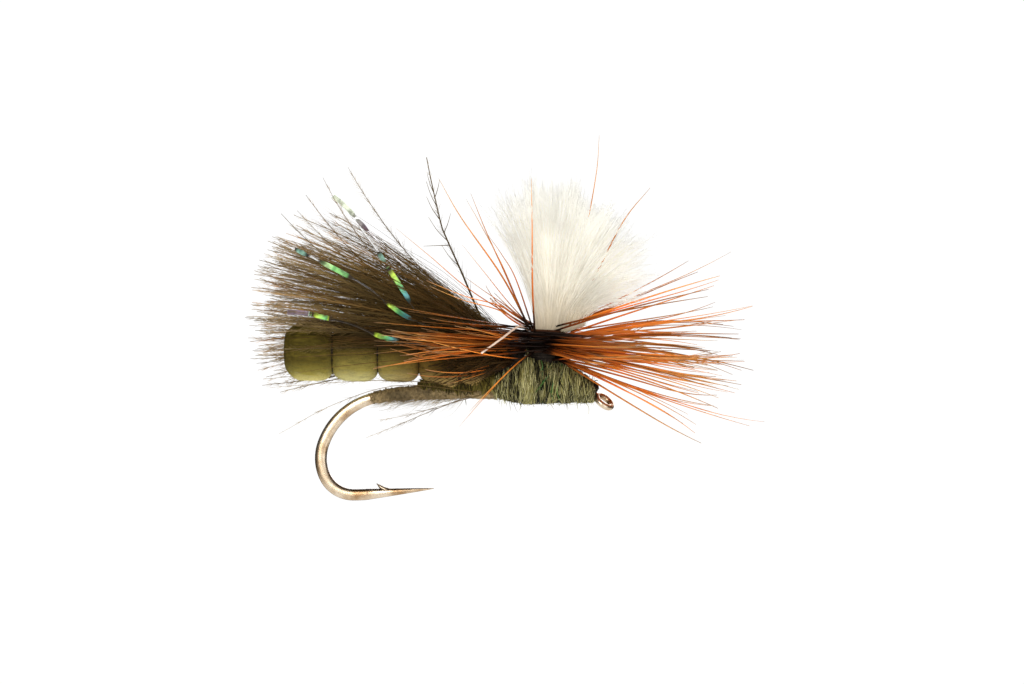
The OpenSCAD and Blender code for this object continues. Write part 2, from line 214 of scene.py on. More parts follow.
def build(name, parts, slot, *nodes, smooth=True):
    """Joins parts into one mesh piece, in its slot's material, that replaces CAD nodes."""
    bases = np.cumsum([0] + [len(part[0]) for part in parts])
    points = np.concatenate([part[0] for part in parts])
    quads = np.concatenate([part[1] + base for part, base in zip(parts, bases)])
    tris = np.concatenate([part[2] + base for part, base in zip(parts, bases)])
    mesh = bpy.data.meshes.new(name)
    mesh.vertices.add(len(points))
    mesh.vertices.foreach_set("co", (points * MM).astype(np.float32).ravel())
    corners_used = np.concatenate([quads.ravel(), tris.ravel()])
    mesh.loops.add(len(corners_used))
    mesh.loops.foreach_set("vertex_index", corners_used.astype(np.int32))
    mesh.polygons.add(len(quads) + len(tris))
    starts = np.concatenate([4 * np.arange(len(quads)), 4 * len(quads) + 3 * np.arange(len(tris))])
    mesh.polygons.foreach_set("loop_start", starts.astype(np.int32))
    mesh.polygons.foreach_set("use_smooth", np.full(len(starts), smooth))
    mesh.update(calc_edges=True)
    colours = np.ones((len(points), 4), np.float32)
    colours[:, :3] = np.concatenate([part[3] for part in parts])
    layer = mesh.color_attributes.new("shade", "FLOAT_COLOR", "POINT")
    layer.data.foreach_set("color", colours.ravel())
    mesh.materials.append(MATERIALS[slot])
    piece = add_object(name, mesh)
    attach(piece, BODY)
    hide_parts(*nodes)
    return piece


# ---------------------------------------------------------------- materials


class Nodes:
    """A short way to write the node tree of a material or a world."""

    def __init__(self, name, library=bpy.data.materials):
        self.owner = library.new(name)
        self.owner.use_nodes = True
        self.tree = self.owner.node_tree
        self.shader = self.tree.nodes.get("Principled BSDF")

    def add(self, kind, inputs=None, **settings):
        node = self.tree.nodes.new(kind)
        for key, value in settings.items():
            setattr(node, key, value)
        for key, value in (inputs or {}).items():
            self.link(value, node.inputs[key])
        return node

    def link(self, value, socket):
        if isinstance(value, bpy.types.NodeSocket):
            self.tree.links.new(value, socket)
        else:
            socket.default_value = value

    def ramp(self, value, stops):
        node = self.add("ShaderNodeValToRGB", {"Fac": value})
        ramp = node.color_ramp
        while len(ramp.elements) < len(stops):
            ramp.elements.new(0.5)
        for element, (at, colour) in zip(ramp.elements, stops):
            element.position = at
            element.color = (*colour, 1)
        return node.outputs["Color"]

    def math(self, operation, *values):
        node = self.add("ShaderNodeMath", operation=operation)
        for k, value in enumerate(values):
            self.link(value, node.inputs[k])
        return node.outputs[0]

    def mix(self, factor, a, b, blend="MIX"):
        node = self.add("ShaderNodeMix", data_type="RGBA", blend_type=blend)
        self.link(factor, node.inputs["Factor"])
        self.link(a, node.inputs["A"])
        self.link(b, node.inputs["B"])
        return node.outputs["Result"]

    def times(self, colour, factor):
        return self.mix(1.0, colour, factor, "MULTIPLY")

    def scaled(self, value, low=0.0, high=1.0, to_low=0.0, to_high=1.0, way="LINEAR"):
        """The value moved from one range to another, and held at its ends."""
        ends = {"Value": value, "From Min": low, "From Max": high, "To Min": to_low, "To Max": to_high}
        return self.add("ShaderNodeMapRange", ends, interpolation_type=way).outputs[0]

    def noise(self, scale, detail=3.0, stretch=(1, 1, 1)):
        """Noise in the frame's own coordinates; scale is waves to the millimetre."""
        place = self.add("ShaderNodeTexCoord").outputs["Object"]
        mapped = self.add("ShaderNodeMapping", {"Vector": place})
        mapped.inputs["Scale"].default_value = [scale * k / MM for k in stretch]
        inputs = {"Vector": mapped.outputs[0], "Scale": 1.0, "Detail": detail}
        return self.add("ShaderNodeTexNoise", inputs).outputs["Fac"]

    def place(self):
        """The x, y and z of the shaded point, in millimetres."""
        place = self.add("ShaderNodeTexCoord").outputs["Object"]
        parts = self.add("ShaderNodeSeparateXYZ", {"Vector": place})
        return [self.math("DIVIDE", parts.outputs[k], MM) for k in range(3)]

    def shade(self):
        """The along, tone and kind stored on each vertex."""
        stored = self.add("ShaderNodeAttribute", attribute_name="shade")
        parts = self.add("ShaderNodeSeparateColor", {"Color": stored.outputs["Color"]})
        return [parts.outputs[k] for k in range(3)]

    def bump(self, height, distance, strength=1.0):
        inputs = {"Height": height, "Distance": distance * MM, "Strength": strength}
        self.link(self.add("ShaderNodeBump", inputs).outputs[0], self.shader.inputs["Normal"])

    def set(self, **values):
        for key, value in values.items():
            self.link(value, self.shader.inputs[key.replace("_", " ")])
        return self.owner


def grey(v):
    return (v, v, v)


def toned(n, colour, tone, low, high):
    """The colour made darker or lighter by a tone from 0 to 1."""
    return n.times(colour, n.scaled(tone, to_low=low, to_high=high))


def fibres(name, stops, tones, rough, tint=None, noise_scale=1.2, specular=0.08, painted_glow=0.0):
    """Fibres coloured from root to tip, each with its own tone and tint, a little mottled."""
    n = Nodes(name)
    along, tone, kind = n.shade()
    colour = n.ramp(along, stops)
    if tint:
        colour = n.mix(kind, colour, n.times(colour, (*tint, 1)))
    colour = toned(n, colour, tone, *tones)
    colour = n.times(colour, n.ramp(n.noise(noise_scale), [(0.3, grey(0.75)), (0.7, grey(1.0))]))
    rough = n.scaled(tone, to_low=rough - 0.08, to_high=rough + 0.08)
    n.set(Base_Color=colour, Roughness=rough, Specular_IOR_Level=specular)
    # Painted light: the fibres may be given a glow of their own colour, standing in for light shining
    # through them.
    if painted_glow:
        n.set(Emission_Color=colour, Emission_Strength=painted_glow)
    return n.owner


def bronze():
    """Bronzed wire: pale warm flats with tan burnish marks, and painted shade along the edges, dark brown
    standing in for the dark reflections and shade seen there.
    """
    n = Nodes("bronzed_wire")
    _, _, edge = n.shade()
    marks = n.noise(0.9, 5.0)
    colour = n.ramp(marks, [(0.38, (0.31, 0.195, 0.100)), (0.50, (0.48, 0.370, 0.25)),
                            (0.62, (0.61, 0.52, 0.400))])
    # Painted shade: the edge mask darkens the wire's edges to dark brown.
    painted_edge_shade = n.ramp(edge, [(0.86, grey(0.0)), (0.97, grey(0.9))])
    colour = n.mix(painted_edge_shade, colour, (0.085, 0.045, 0.020, 1))
    return n.set(Base_Color=colour, Roughness=n.scaled(marks, to_low=0.40, to_high=0.30), Metallic=1.0)


def foam():
    """Closed-cell foam, olive, with fine open pores and faint streaks. Darker up its sides, partly the
    foam's own darker back and partly painted shade under the wing; its yellow underside is painted light
    from below.
    """
    n = Nodes("olive_foam")
    x, _, z = n.place()
    streaks = n.noise(2.8, 5.0, (0.5, 1.4, 2.6))
    height = n.math("ADD", z, n.math("MULTIPLY", n.math("SUBTRACT", streaks, 0.5), 0.9))
    height_shade = n.scaled(height, 1.1, 3.9)
    # All but the rear segment: the darkest top is painted shade under the wing, the pale bottom painted
    # light from below.
    light = n.ramp(height_shade, [(0.0, (0.56, 0.510, 0.210)), (0.2, (0.230, 0.190, 0.045)),
                           (0.5, (0.100, 0.072, 0.013)), (0.8, (0.060, 0.039, 0.009)),
                           (1.0, (0.052, 0.034, 0.009))])
    # The rear segment: darker olive, with the same painted light low down.
    dark = n.ramp(height_shade, [(0.0, (0.64, 0.56, 0.20)), (0.15, (0.21, 0.175, 0.036)),
                          (0.35, (0.080, 0.060, 0.009)), (0.8, (0.080, 0.060, 0.009)),
                          (1.0, (0.130, 0.098, 0.015))])
    colour = n.mix(n.scaled(x, -14.5, -13.8), dark, light)
    # Painted shade: the front of the foam, under the wing and hackle, darker still.
    colour = n.mix(n.scaled(x, -12.4, -9.6), colour, n.times(colour, (0.54, 0.40, 0.32, 1)))
    pores = n.add("ShaderNodeTexVoronoi", {"Scale": 9.0 / MM}, feature="F1")
    n.link(n.add("ShaderNodeTexCoord").outputs["Object"], pores.inputs["Vector"])
    # Painted shade: the pores are darker at their centres, where the bump sinks them.
    colour = n.times(colour, n.ramp(pores.outputs["Distance"], [(0.05, grey(0.80)), (0.45, grey(1.0))]))
    colour = n.times(colour, n.ramp(streaks, [(0.34, grey(0.58)), (0.66, grey(1.22))]))
    n.bump(n.math("ADD", n.math("MULTIPLY", pores.outputs["Distance"], 0.6), streaks), 0.03, 0.7)
    return n.set(Base_Color=colour, Roughness=0.8, Specular_IOR_Level=0.08)


def thread(name, dark, light, rough):
    """Waxed thread: strands twisted along it, with painted shade darkening the gaps between them."""
    n = Nodes(name)
    _, tone, _ = n.shade()
    twist = n.noise(7.0, 2.0)
    colour = toned(n, n.ramp(twist, [(0.3, dark), (0.7, light)]), tone, 0.6, 1.4)
    colour = n.times(colour, n.ramp(n.noise(1.5, 4.0), [(0.36, grey(0.55)), (0.62, grey(1.25))]))
    n.bump(twist, 0.02, 0.6)
    return n.set(Base_Color=colour, Roughness=rough, Specular_IOR_Level=0.18)


def pearl_film():
    """Pearl film: dull brown-grey where it is edge on, and short flashes of green, teal and violet painted
    along it as painted reflections; it is also made to shine a little as painted light.
    """
    n = Nodes("pearl_film")
    along, tone, lit = n.shade()
    dull = (0.045, 0.034, 0.022)
    painted_flashes = n.ramp(along, [
        (0.0, (0.12, 0.085, 0.105)), (0.02, (0.20, 0.14, 0.19)), (0.05, (0.78, 0.86, 0.68)),
        (0.12, (0.26, 0.48, 0.38)), (0.18, dull), (0.28, dull), (0.34, (0.42, 0.66, 0.28)),
        (0.40, (0.12, 0.38, 0.10)), (0.45, dull), (0.66, dull), (0.71, (0.46, 0.64, 0.06)),
        (0.79, (0.13, 0.46, 0.14)), (0.85, (0.07, 0.28, 0.29)), (0.91, dull),
    ])
    colour = toned(n, painted_flashes, tone, 0.8, 1.2)
    colour = n.times(colour, n.ramp(n.noise(2.6, 3.0), [(0.36, grey(0.42)), (0.58, grey(1.0))]))
    n.bump(n.noise(4.0, 2.0), 0.02, 0.4)
    n.set(Base_Color=colour, Metallic=0.2, Roughness=0.3, Coat_Weight=0.3, Coat_Roughness=0.15)
    # Painted light: the film emits a little of its own colour.
    return n.set(Emission_Color=colour, Emission_Strength=n.math("MULTIPLY", lit, 0.30))


# Each slot's material. The stops run from a fibre's root, at 0, to its tip, at 1.
MATERIALS = {
    # The near-black roots are painted shade at the hub.
    "barb_ginger": fibres(
        "ginger_barbs",
        [(0.0, (0.006, 0.002, 0.001)), (0.10, (0.030, 0.008, 0.003)), (0.21, (0.40, 0.076, 0.007)),
         (0.50, (0.80, 0.182, 0.020)), (0.85, (0.81, 0.285, 0.060)), (1.0, (0.66, 0.320, 0.150))],
        (0.36, 1.50), 0.50, tint=(1.15, 1.80, 2.25), specular=0.10),
    "feather_dark": fibres(
        "downy_feather",
        [(0.0, (0.024, 0.011, 0.004)), (0.40, (0.062, 0.036, 0.009)), (0.65, (0.110, 0.073, 0.025)),
         (0.82, (0.215, 0.148, 0.060)), (1.0, (0.340, 0.255, 0.140))],
        (0.45, 1.80), 0.62, tint=(1.55, 1.15, 0.90)),
    # The white yarn glows a little: painted light for light shining through it.
    "yarn_white": fibres(
        "white_yarn",
        [(0.0, (0.52, 0.43, 0.30)), (0.22, (0.69, 0.62, 0.49)), (0.5, (0.77, 0.74, 0.65)),
         (1.0, (0.97, 0.96, 0.90))],
        (0.90, 1.05), 0.6, noise_scale=0.5, specular=0.2, painted_glow=0.36),
    "dubbing": fibres(
        "olive_fur",
        [(0.0, (0.165, 0.142, 0.045)), (0.5, (0.205, 0.190, 0.065)), (1.0, (0.36, 0.335, 0.175))],
        (0.04, 2.1), 0.7, tint=(0.30, 1.05, 0.65), noise_scale=0.9),
    # The wound turns are painted near-black, painted shade under the barbs at the hub; the cut butt stays
    # cream.
    "quill": fibres(
        "feather_quill",
        [(0.0, (0.95, 0.76, 0.62)), (0.105, (0.85, 0.58, 0.43)), (0.125, (0.06, 0.02, 0.008)),
         (1.0, (0.02, 0.007, 0.003))],
        (0.9, 1.1), 0.5, specular=0.1),
    "hook_wire": bronze(),
    "foam": foam(),
    "pearl_film": pearl_film(),
    "thread_dark": thread("dark_thread", (0.004, 0.002, 0.001), (0.015, 0.010, 0.006), 0.65),
    "thread_grey": thread("grey_thread", (0.095, 0.068, 0.028), (0.300, 0.218, 0.105), 0.6),
    "thread_olive": fibres(
        "olive_binding",
        [(0.0, (0.045, 0.032, 0.006)), (0.5, (0.075, 0.056, 0.010)), (1.0, (0.14, 0.115, 0.026))],
        (0.2, 1.7), 0.7, noise_scale=0.9),
}


# ---------------------------------------------------------------- hook

EYE_DOWN = 37.0
EYE_TWIST = 25.0
EYE_MID_R = 0.44
EYE_WIRE_R = 0.16
WIRE_R = 0.28
FORGED_HALF = 0.21
NECK_LEN = 0.49
SHANK_STRAIGHT = 5.25
SPEAR_LEN = 3.5
BARB_FROM_POINT = 2.6
KNEE = (0.5, EYE_DOWN + 0.9)
# The wire's bends as (radius, degrees): the end of the shank, then tighter, then open to the spear.
BENDS = [(95, 2.6), (6.3, 16), (3.7, 50.6), (2.3, 42.4), (1.65, 66), (6.5, 6.5)]


def hook_line():
    """The wire's centreline from the eye to the point.

    Returns points (n, 2) in X and Z, and how far along the wire each move ends."""
    a = math.radians(EYE_DOWN)
    x, z, heading = -EYE_MID_R * math.cos(a), EYE_MID_R * math.sin(a), 180.0 - EYE_DOWN
    points, marks, travelled = [(x, z)], [], 0.0
    moves = [(NECK_LEN, 0), KNEE, (SHANK_STRAIGHT, 0)] + BENDS + [(SPEAR_LEN, 0)]
    for size, turn in moves:
        length = size * math.radians(turn) if turn else size
        steps = max(4, int(length / 0.06))
        for _ in range(steps):
            middle = math.radians(heading + turn / steps / 2)
            x += length / steps * math.cos(middle)
            z += length / steps * math.sin(middle)
            heading += turn / steps
            points.append((x, z))
        travelled += length
        marks.append(travelled)
    return np.array(points), marks


HOOK_SIDES = 32
HOOK_LINE, HOOK_MARKS = hook_line()
NECK_END, KNEE_END, BEND_START, BEND_TOP, SPEAR_START = (HOOK_MARKS[i] for i in (0, 1, 4, 5, 8))
HOOK_S = np.concatenate([[0], np.cumsum(np.linalg.norm(np.diff(HOOK_LINE, axis=0), axis=1))])


def on_shank(x):
    """Height of the wire's centre at x, on the shank and the top of the bend."""
    top = HOOK_LINE[(HOOK_S > NECK_END) & (HOOK_S < BEND_TOP)]
    return np.interp(x, top[::-1, 0], top[::-1, 1])


def make_hook():
    """The wire with its forged bend and its point, the eye's ring, and the barb."""
    s = HOOK_S
    radius = np.interp(s, [0, NECK_END, KNEE_END], [EYE_WIRE_R, EYE_WIRE_R + 0.02, WIRE_R])
    on_spear = np.clip((s - SPEAR_START) / SPEAR_LEN, 0, 1)
    spread = np.interp(s, [BEND_START - 1.0, BEND_START + 2.0, SPEAR_START - 2.0, SPEAR_START + 0.5],
                       [0, 1, 1, 0.3])
    radius = radius * (1 + 0.11 * spread)
    radius = radius * (0.04 + 0.96 * (1 - on_spear) ** 0.85)
    half = np.interp(s, [BEND_START - 1.2, BEND_START], [1.0, FORGED_HALF / WIRE_R]) * radius
    half = np.where(on_spear > 0, np.minimum(radius, FORGED_HALF * (1 - 0.5 * on_spear)), half)
    square = np.interp(s, [BEND_START - 1.2, BEND_START, SPEAR_START + 1.5, SPEAR_START + SPEAR_LEN],
                       [2.0, 2.5, 2.3, 2.0])
    line = xyz(HOOK_LINE[:, 0], 0, HOOK_LINE[:, 1])
    tangent = unit(np.gradient(line, axis=0))
    normal = xyz(-tangent[:, 2], 0, tangent[:, 0])
    a = full_turn(HOOK_SIDES)
    power = 2 / square[:, None]
    out = np.sign(np.cos(a)) * np.abs(np.cos(a)) ** power * radius[:, None]
    across = -np.sign(np.sin(a)) * np.abs(np.sin(a)) ** power * half[:, None]
    rings = line[:, None] + out[..., None] * normal[:, None] + across[..., None] * ACROSS
    points, quads, tris, shade = skin(rings)
    # Painted shade: from the bend on, the wire's edges are marked for painted dark reflections and shade,
    # widest on the inner edge of the lower bend; the eye's ring has none.
    forged = np.clip((s - BEND_START + 1.0) / 1.5, 0, 1)
    inner_edge_shade = 1 + 0.38 * np.clip((s - SPEAR_START + 3.5) / 2.5, 0, 1)
    edge = np.maximum(np.abs(np.cos(a)), inner_edge_shade[:, None] * np.cos(a))
    shade[: len(rings) * HOOK_SIDES, 2] = np.clip(forged[:, None] * edge, 0, 1).ravel()
    parts = [(points, quads, tris, shade)]

    turn = full_turn(96)[:, None]
    down, twist = math.radians(EYE_DOWN), math.radians(EYE_TWIST)
    forward = np.array([math.cos(down), 0, -math.sin(down)])
    raised = np.array([math.sin(down), 0, math.cos(down)])
    sideways = math.cos(twist) * ACROSS + math.sin(twist) * raised
    radial = np.cos(turn) * forward + np.sin(turn) * sideways
    axis = np.cross(forward, sideways)
    b = full_turn(28)[:, None]
    ring = (EYE_MID_R + EYE_WIRE_R * np.cos(b)) * radial[:, None] + EYE_WIRE_R * np.sin(b) * axis
    m, k = ring.shape[:2]
    here, j = k * np.arange(m)[:, None], np.arange(k)
    there, beside = np.roll(here, -1), (j + 1) % k
    quad = np.stack([here + j, there + j, there + beside, here + beside], -1)
    shade = np.zeros((m * k, 3))
    parts.append((ring.reshape(-1, 3), quad.reshape(-1, 4), np.zeros((0, 3), int), shade))

    root_i = int(np.searchsorted(s, SPEAR_START + SPEAR_LEN - BARB_FROM_POINT))
    root = line[root_i]
    back = -tangent[root_i]
    up = normal[root_i]
    barb_line = smooth_path([root - 0.55 * back - 0.02 * up, root - 0.20 * back + 0.09 * up,
                             root + 0.08 * back + 0.25 * up, root + 0.36 * back + 0.52 * up], 20)
    taper = np.interp(np.linspace(0, 1, 20), [0, 0.4, 0.75, 1], [0.14, 0.145, 0.10, 0.012])
    # The barb's mark paints it dark nearly all over: painted shade.
    parts.append(tubes(barb_line[None], taper, 14, kind=0.93, ref=ACROSS))
    build("hook_wire", parts, "hook_wire", "hook")


# ---------------------------------------------------------------- thread on the shank


def make_thread_base():
    """Two layers of thread on the shank, over a plain core, with loose short fibres below it."""
    rng = seeded("base")
    low, high = corners("shank_thread_base")
    x = np.linspace(low[0] - 0.25, high[0], 70)
    line = xyz(x, 0, on_shank(x))
    radius = np.interp(x, [low[0] - 0.25, low[0] + 0.9, -9.0, -7.0, high[0]],
                       [WIRE_R - 0.035, WIRE_R + 0.02, WIRE_R + 0.07, WIRE_R + 0.1, 0.44])
    parts = [skin(rod(line, radius, 24), tone=0.2)]
    parts.append(windings(line, radius, 105, 0.028, rng, per_turn=14, jitter=0.5, lean=0.03))
    parts.append(windings(line[::-1], radius[::-1] + 0.02, 23, 0.026, rng, jitter=0.6, lean=0.05))
    count = 400
    x = rng.uniform(-11.4, -7.2, count)
    start = xyz(x, rng.normal(0, 0.12, count), on_shank(x) - 0.25)
    drop = rng.gamma(2.0, 0.13, count)
    end = start + xyz(-rng.uniform(0.3, 1.5, count), rng.normal(0, 0.3, count), -drop)
    bow = xyz(0, 0, -0.25 * drop)
    parts.append(tubes(bowed(start, end, bow, 7), 0.0085 * np.linspace(1, 0.3, 7), 3, tone=0.9))
    build("thread_base", parts, "thread_grey", "shank_thread_base")


# ---------------------------------------------------------------- foam abdomen

FOAM_REAR = np.array([-16.6, 0, 2.62])
FOAM_DIP = math.radians(2.0)
FOAM_RIBS = [0, 2.5, 4.85, 7.0, 9.05]
FOAM_RADII = [1.47, 1.42, 1.37, 1.32]
FOAM_CORNERS = [0.56, 0.56, 0.56, 0.448]
FOAM_LEN = 11.1
ROUNDING = 0.78
REAR_ROUNDING = 0.62
REAR_TAPER = 0.26
REAR_TAPER_LEN = 0.9
TAIL_START = 7.6
TAIL_DROP = 1.45


def foam_centre(s):
    """Centre of the foam rod at a distance from its rear face; its front bends down to the shank."""
    x = FOAM_REAR[0] + s * math.cos(FOAM_DIP)
    z = FOAM_REAR[2] - s * math.sin(FOAM_DIP)
    bend = np.clip((s - TAIL_START) / (FOAM_LEN - TAIL_START), 0, 1)
    return xyz(x, 0, z - TAIL_DROP * bend**1.2)


def foam_radius(s):
    """Radius at a distance from the rear face: pillows between the ribs, then a tail under the wing."""
    r = np.zeros_like(s)
    for a, b, full, c in zip(FOAM_RIBS, FOAM_RIBS[1:], FOAM_RADII, FOAM_CORNERS):
        gap = np.minimum((s - a) * (ROUNDING if a else REAR_ROUNDING), (b - s) * ROUNDING)
        shoulder = full - c + np.sqrt(np.clip(c**2 - np.clip(c - gap, 0, c) ** 2, 0, None))
        crown = 0.03 * np.cos(np.pi * (s - (a + b) / 2) / (b - a))
        r = np.where((s >= a) & (s <= b), shoulder + crown, r)
    r = r - REAR_TAPER * np.clip(1 - s / REAR_TAPER_LEN, 0, 1) ** 2
    tail = np.clip((s - FOAM_RIBS[-1]) / (FOAM_LEN - FOAM_RIBS[-1]), 0, 1)
    bulge = 0.84 + 0.12 * np.sin(np.pi * np.clip(tail * 1.6, 0, 1)) - 0.50 * tail**1.3
    return np.where(s > FOAM_RIBS[-1], bulge, r)


def make_abdomen():
    """The foam rod, folded at its ribs and slightly uneven, with short fuzz all over it."""
    rng = seeded("foam")
    s = np.unique(np.concatenate(
        [np.linspace(0, FOAM_LEN, 260)] + [r + np.linspace(-0.12, 0.12, 13) for r in FOAM_RIBS[1:]]))
    s = s[(s >= 0) & (s <= FOAM_LEN)]
    a = full_turn(128)
    centre = foam_centre(s)
    r = np.repeat(foam_radius(s)[:, None], len(a), axis=1)
    for rib in FOAM_RIBS[1:]:
        near = np.exp(-(((s - rib) / 0.28) ** 2))[:, None]
        folds = sum(rng.uniform(0.006, 0.014) * np.sin(k * a + rng.uniform(0, 6)) for k in (7, 11, 17, 23))
        r = r + near * folds
    for _ in range(7):
        k, f = rng.integers(1, 5), rng.uniform(0.4, 1.6)
        r = r + 0.009 * np.sin(k * a + rng.uniform(0, 6)) * np.sin(f * s + rng.uniform(0, 6))[:, None]
    rings = rod(centre, r, len(a))
    face = [FOAM_REAR - 0.03 * (1 - share**2) * AHEAD + share * (rings[0] - centre[0])
            for share in (0.35, 0.7, 0.9)]
    rings = np.concatenate([face, rings])
    count = 1500
    at, around = rng.uniform(0.1, FOAM_LEN - 0.5, count), rng.uniform(0, 2 * np.pi, count)
    outward = xyz(0, np.cos(around), np.sin(around))
    root = foam_centre(at) + (foam_radius(at) - 0.02)[:, None] * outward
    reach = rng.uniform(0.10, 0.28, count)[:, None]
    tip = root + reach * unit(0.45 * outward + rng.normal(0, 0.5, (count, 3)) * np.array([1.6, 0.6, 0.6]))
    fuzz = tubes(bowed(root, tip, 0.08 * reach * outward, 3), 0.007 * np.array([1, 0.8, 0.3]), 3)
    piece = build("foam_abdomen", [skin(rings), fuzz], "foam", "abdomen_foam")


def make_ribs():
    """Four turns of thread round each pinch of the foam, with a small knot on either side."""
    for i in range(1, 5):
        rng = seeded(f"rib{i}")
        rib_s = FOAM_RIBS[i]
        parts = []
        for lean, start in ((0.10, 0.3), (-0.10, 0.5), (0.04, 1.1), (-0.02, 2.0)):
            a = np.linspace(start, start + 2 * np.pi, 97)
            c = foam_centre(np.full_like(a, rib_s))
            reach = FOAM_RADII[i - 1] - FOAM_CORNERS[i - 1] + 0.05 + rng.uniform(-0.01, 0.02)
            slide = lean * np.cos(a - 0.2) + rng.normal(0, 0.01)
            path = c + xyz(slide, reach * np.sin(a), reach * np.cos(a))
            parts.append(tubes(path[None], 0.042, 6, tone=rng.uniform(0.2, 0.8), ref=AHEAD))
        for side in (-1, 1):
            parts.append(knot(np.array([foam_centre(rib_s)[0], side * reach, 2.72 - 0.1 * i]), rng))
        build(f"rib_thread_{i}", parts, "thread_dark", f"rib_band_{i}")


def knot(at, rng):
    """A small crossed knot: two short loops of thread over each other."""
    t = np.linspace(0, 2 * np.pi, 49)
    outward = np.sign(at[1]) * (0.05 + 0.03 * np.cos(2 * t))
    path = at + xyz(0.11 * np.sin(t), outward, 0.17 * np.sin(2 * t))
    return tubes(path[None], 0.038, 6, tone=rng.uniform(0.2, 0.6), ref=ACROSS)


# ---------------------------------------------------------------- fur


def wound_fur(rng, count, centre, radius, x_range, length, thread_r, stray, kind=0.0, light=0.0):
    """Fibres wound crosswise round a body, in light and dark clumps, and darker near the post as painted
    shadow under the hackle.

    centre and radius are functions of x; stray is the share of fibres whose ends stand off."""
    x0 = rng.uniform(*x_range, count)
    start = rng.uniform(0, 2 * np.pi, count)
    sweep = rng.uniform(*length, count) * rng.choice([-1, 1], count)
    t = np.linspace(0, 1, 10)
    a = start[:, None] + sweep[:, None] * t
    x = x0[:, None] + rng.normal(0.15, 0.20, (count, 1)) * (t - 0.5)
    x = x + rng.normal(0, 0.03, (count, 1)) * np.sin(6 * t)
    lift = rng.uniform(-0.03, 0.07, count)[:, None] + 0.02 * np.sin(5 * t + start[:, None])
    ends = np.where(rng.random(count) < stray, rng.exponential(0.16, count), 0.0)[:, None]
    lift = lift + ends * t**2.5
    r = radius(x) + lift
    path = xyz(x, r * np.cos(a), centre(x) + r * np.sin(a))
    thick = rng.uniform(0.6, 1.3, count)[:, None] * thread_r * (1 - 0.6 * np.abs(2 * t - 1) ** 4)
    bands = rng.normal(0, 0.17, 24)
    tone = rng.beta(1.1, 1.7, count) + np.interp(x0, np.linspace(*x_range, 24), bands) + light
    # Painted shadow: fur near the post is darker, under the hackle.
    tone = np.clip(tone - 0.20 * np.exp(-(((x0 - POST_X) / 0.8) ** 2)), 0, 1)
    return tubes(path, thick, 4, tone=tone, kind=kind, ref=AHEAD)


THORAX_X = np.array([-5.9, -5.3, -4.7, -4.0, -3.2, -2.4, -1.7, -1.05, -0.60, -0.42])
THORAX_Z = np.array([0.80, 0.96, 1.06, 1.12, 1.12, 1.02, 0.90, 0.70, 0.53, 0.44])
THORAX_R = np.array([0.50, 0.80, 1.04, 1.20, 1.18, 1.05, 0.93, 0.72, 0.52, 0.38])


def thorax_centre(x):
    return np.interp(x, THORAX_X, THORAX_Z)


def thorax_radius(x):
    return np.interp(x, THORAX_X, THORAX_R)


def make_thorax():
    """Fur in three layers: the wound body, fine loose fuzz, and a few blue-green fibres."""
    rng = seeded("thorax")
    x = np.linspace(THORAX_X[0], THORAX_X[-1], 40)
    body = thorax_centre, thorax_radius
    proud = thorax_centre, lambda x: thorax_radius(x) + 0.03
    parts = [
        skin(rod(xyz(x, 0, thorax_centre(x)), thorax_radius(x) - 0.05, 48), tone=0.05),
        wound_fur(rng, 1500, *body, (-5.8, -0.50), (0.8, 2.6), 0.024, 0.08),
        wound_fur(rng, 900, *body, (-5.7, -0.45), (0.4, 1.3), 0.0095, 0.9, light=0.35),
        wound_fur(rng, 60, *proud, (-3.3, -2.1), (0.6, 1.6), 0.020, 0.1, kind=0.9),
    ]
    build("thorax_fur", parts, "dubbing", "thorax_dubbing")


def make_tie_in():
    """Thread and fur that bind the foam's front end down on the shank."""
    rng = seeded("tie")

    def centre(x):
        return np.interp(x, [-9.8, -8.4, -7.0, -5.7], [0.78, 0.80, 0.85, 0.95])

    def radius(x):
        return np.interp(x, [-9.8, -9.4, -8.6, -7.6, -6.6, -5.7], [0.22, 0.34, 0.46, 0.54, 0.58, 0.66])

    x = np.linspace(-9.7, -5.6, 30)
    parts = [
        skin(rod(xyz(x, 0, centre(x)), radius(x) - 0.04, 32), tone=0.55),
        wound_fur(rng, 520, centre, radius, (-9.5, -5.6), (0.6, 2.0), 0.022, 0.10),
    ]
    build("foam_tie_down", parts, "thread_olive", "abdomen_tie_in")


# ---------------------------------------------------------------- wing

WING_ROOT = np.array([-5.0, 0, 2.8])
WING_LEN = 13.6
# The wing is longest at this many degrees above forward.
WING_AXIS = 165


def barbules(rng, paths, per_path, from_share, length, spread, radius, tone, kind=0.0, light=0.12):
    """Fine side fibres off the paths, leaning towards each path's tip.

    spread is the mean and the scatter, in degrees, of their angle to the path; light is how much
    paler they are than it."""
    n, m, _ = paths.shape
    share = rng.uniform(from_share, 0.97, (n, per_path)).ravel()
    which = np.repeat(np.arange(n), per_path)
    at = share * (m - 1)
    low = np.clip(at.astype(int), 0, m - 2)
    part = (at - low)[:, None]
    root = paths[which, low] * (1 - part) + paths[which, low + 1] * part
    tangent = unit(paths[which, low + 1] - paths[which, low])
    side = unit(np.cross(tangent, ACROSS)) * rng.choice([-1, 1], len(which))[:, None]
    depth = ACROSS * rng.normal(0, 0.35, len(which))[:, None]
    angle = np.radians(rng.normal(*spread, len(which)))[:, None]
    direction = unit(tangent * np.cos(angle) + unit(side + depth) * np.sin(angle))
    reach = (rng.uniform(*length, len(which)) * (1.15 - 0.8 * share))[:, None]
    bow = direction * reach * rng.normal(0.0, 0.02, len(which))[:, None]
    bow[:, 2] -= 0.02
    path = bowed(root, root + direction * reach, bow, 3)
    thick = radius * np.array([1.0, 0.8, 0.22])
    where = share[:, None] + np.array([0, 0.05, 0.12])
    tones = np.broadcast_to(tone, (n,)).repeat(per_path) + rng.normal(light, 0.12, len(which))
    kinds = np.broadcast_to(kind, (n,)).repeat(per_path)
    return tubes(path, thick, 3, tone=np.clip(tones, 0, 1), kind=kinds, along=np.clip(where, 0, 1))


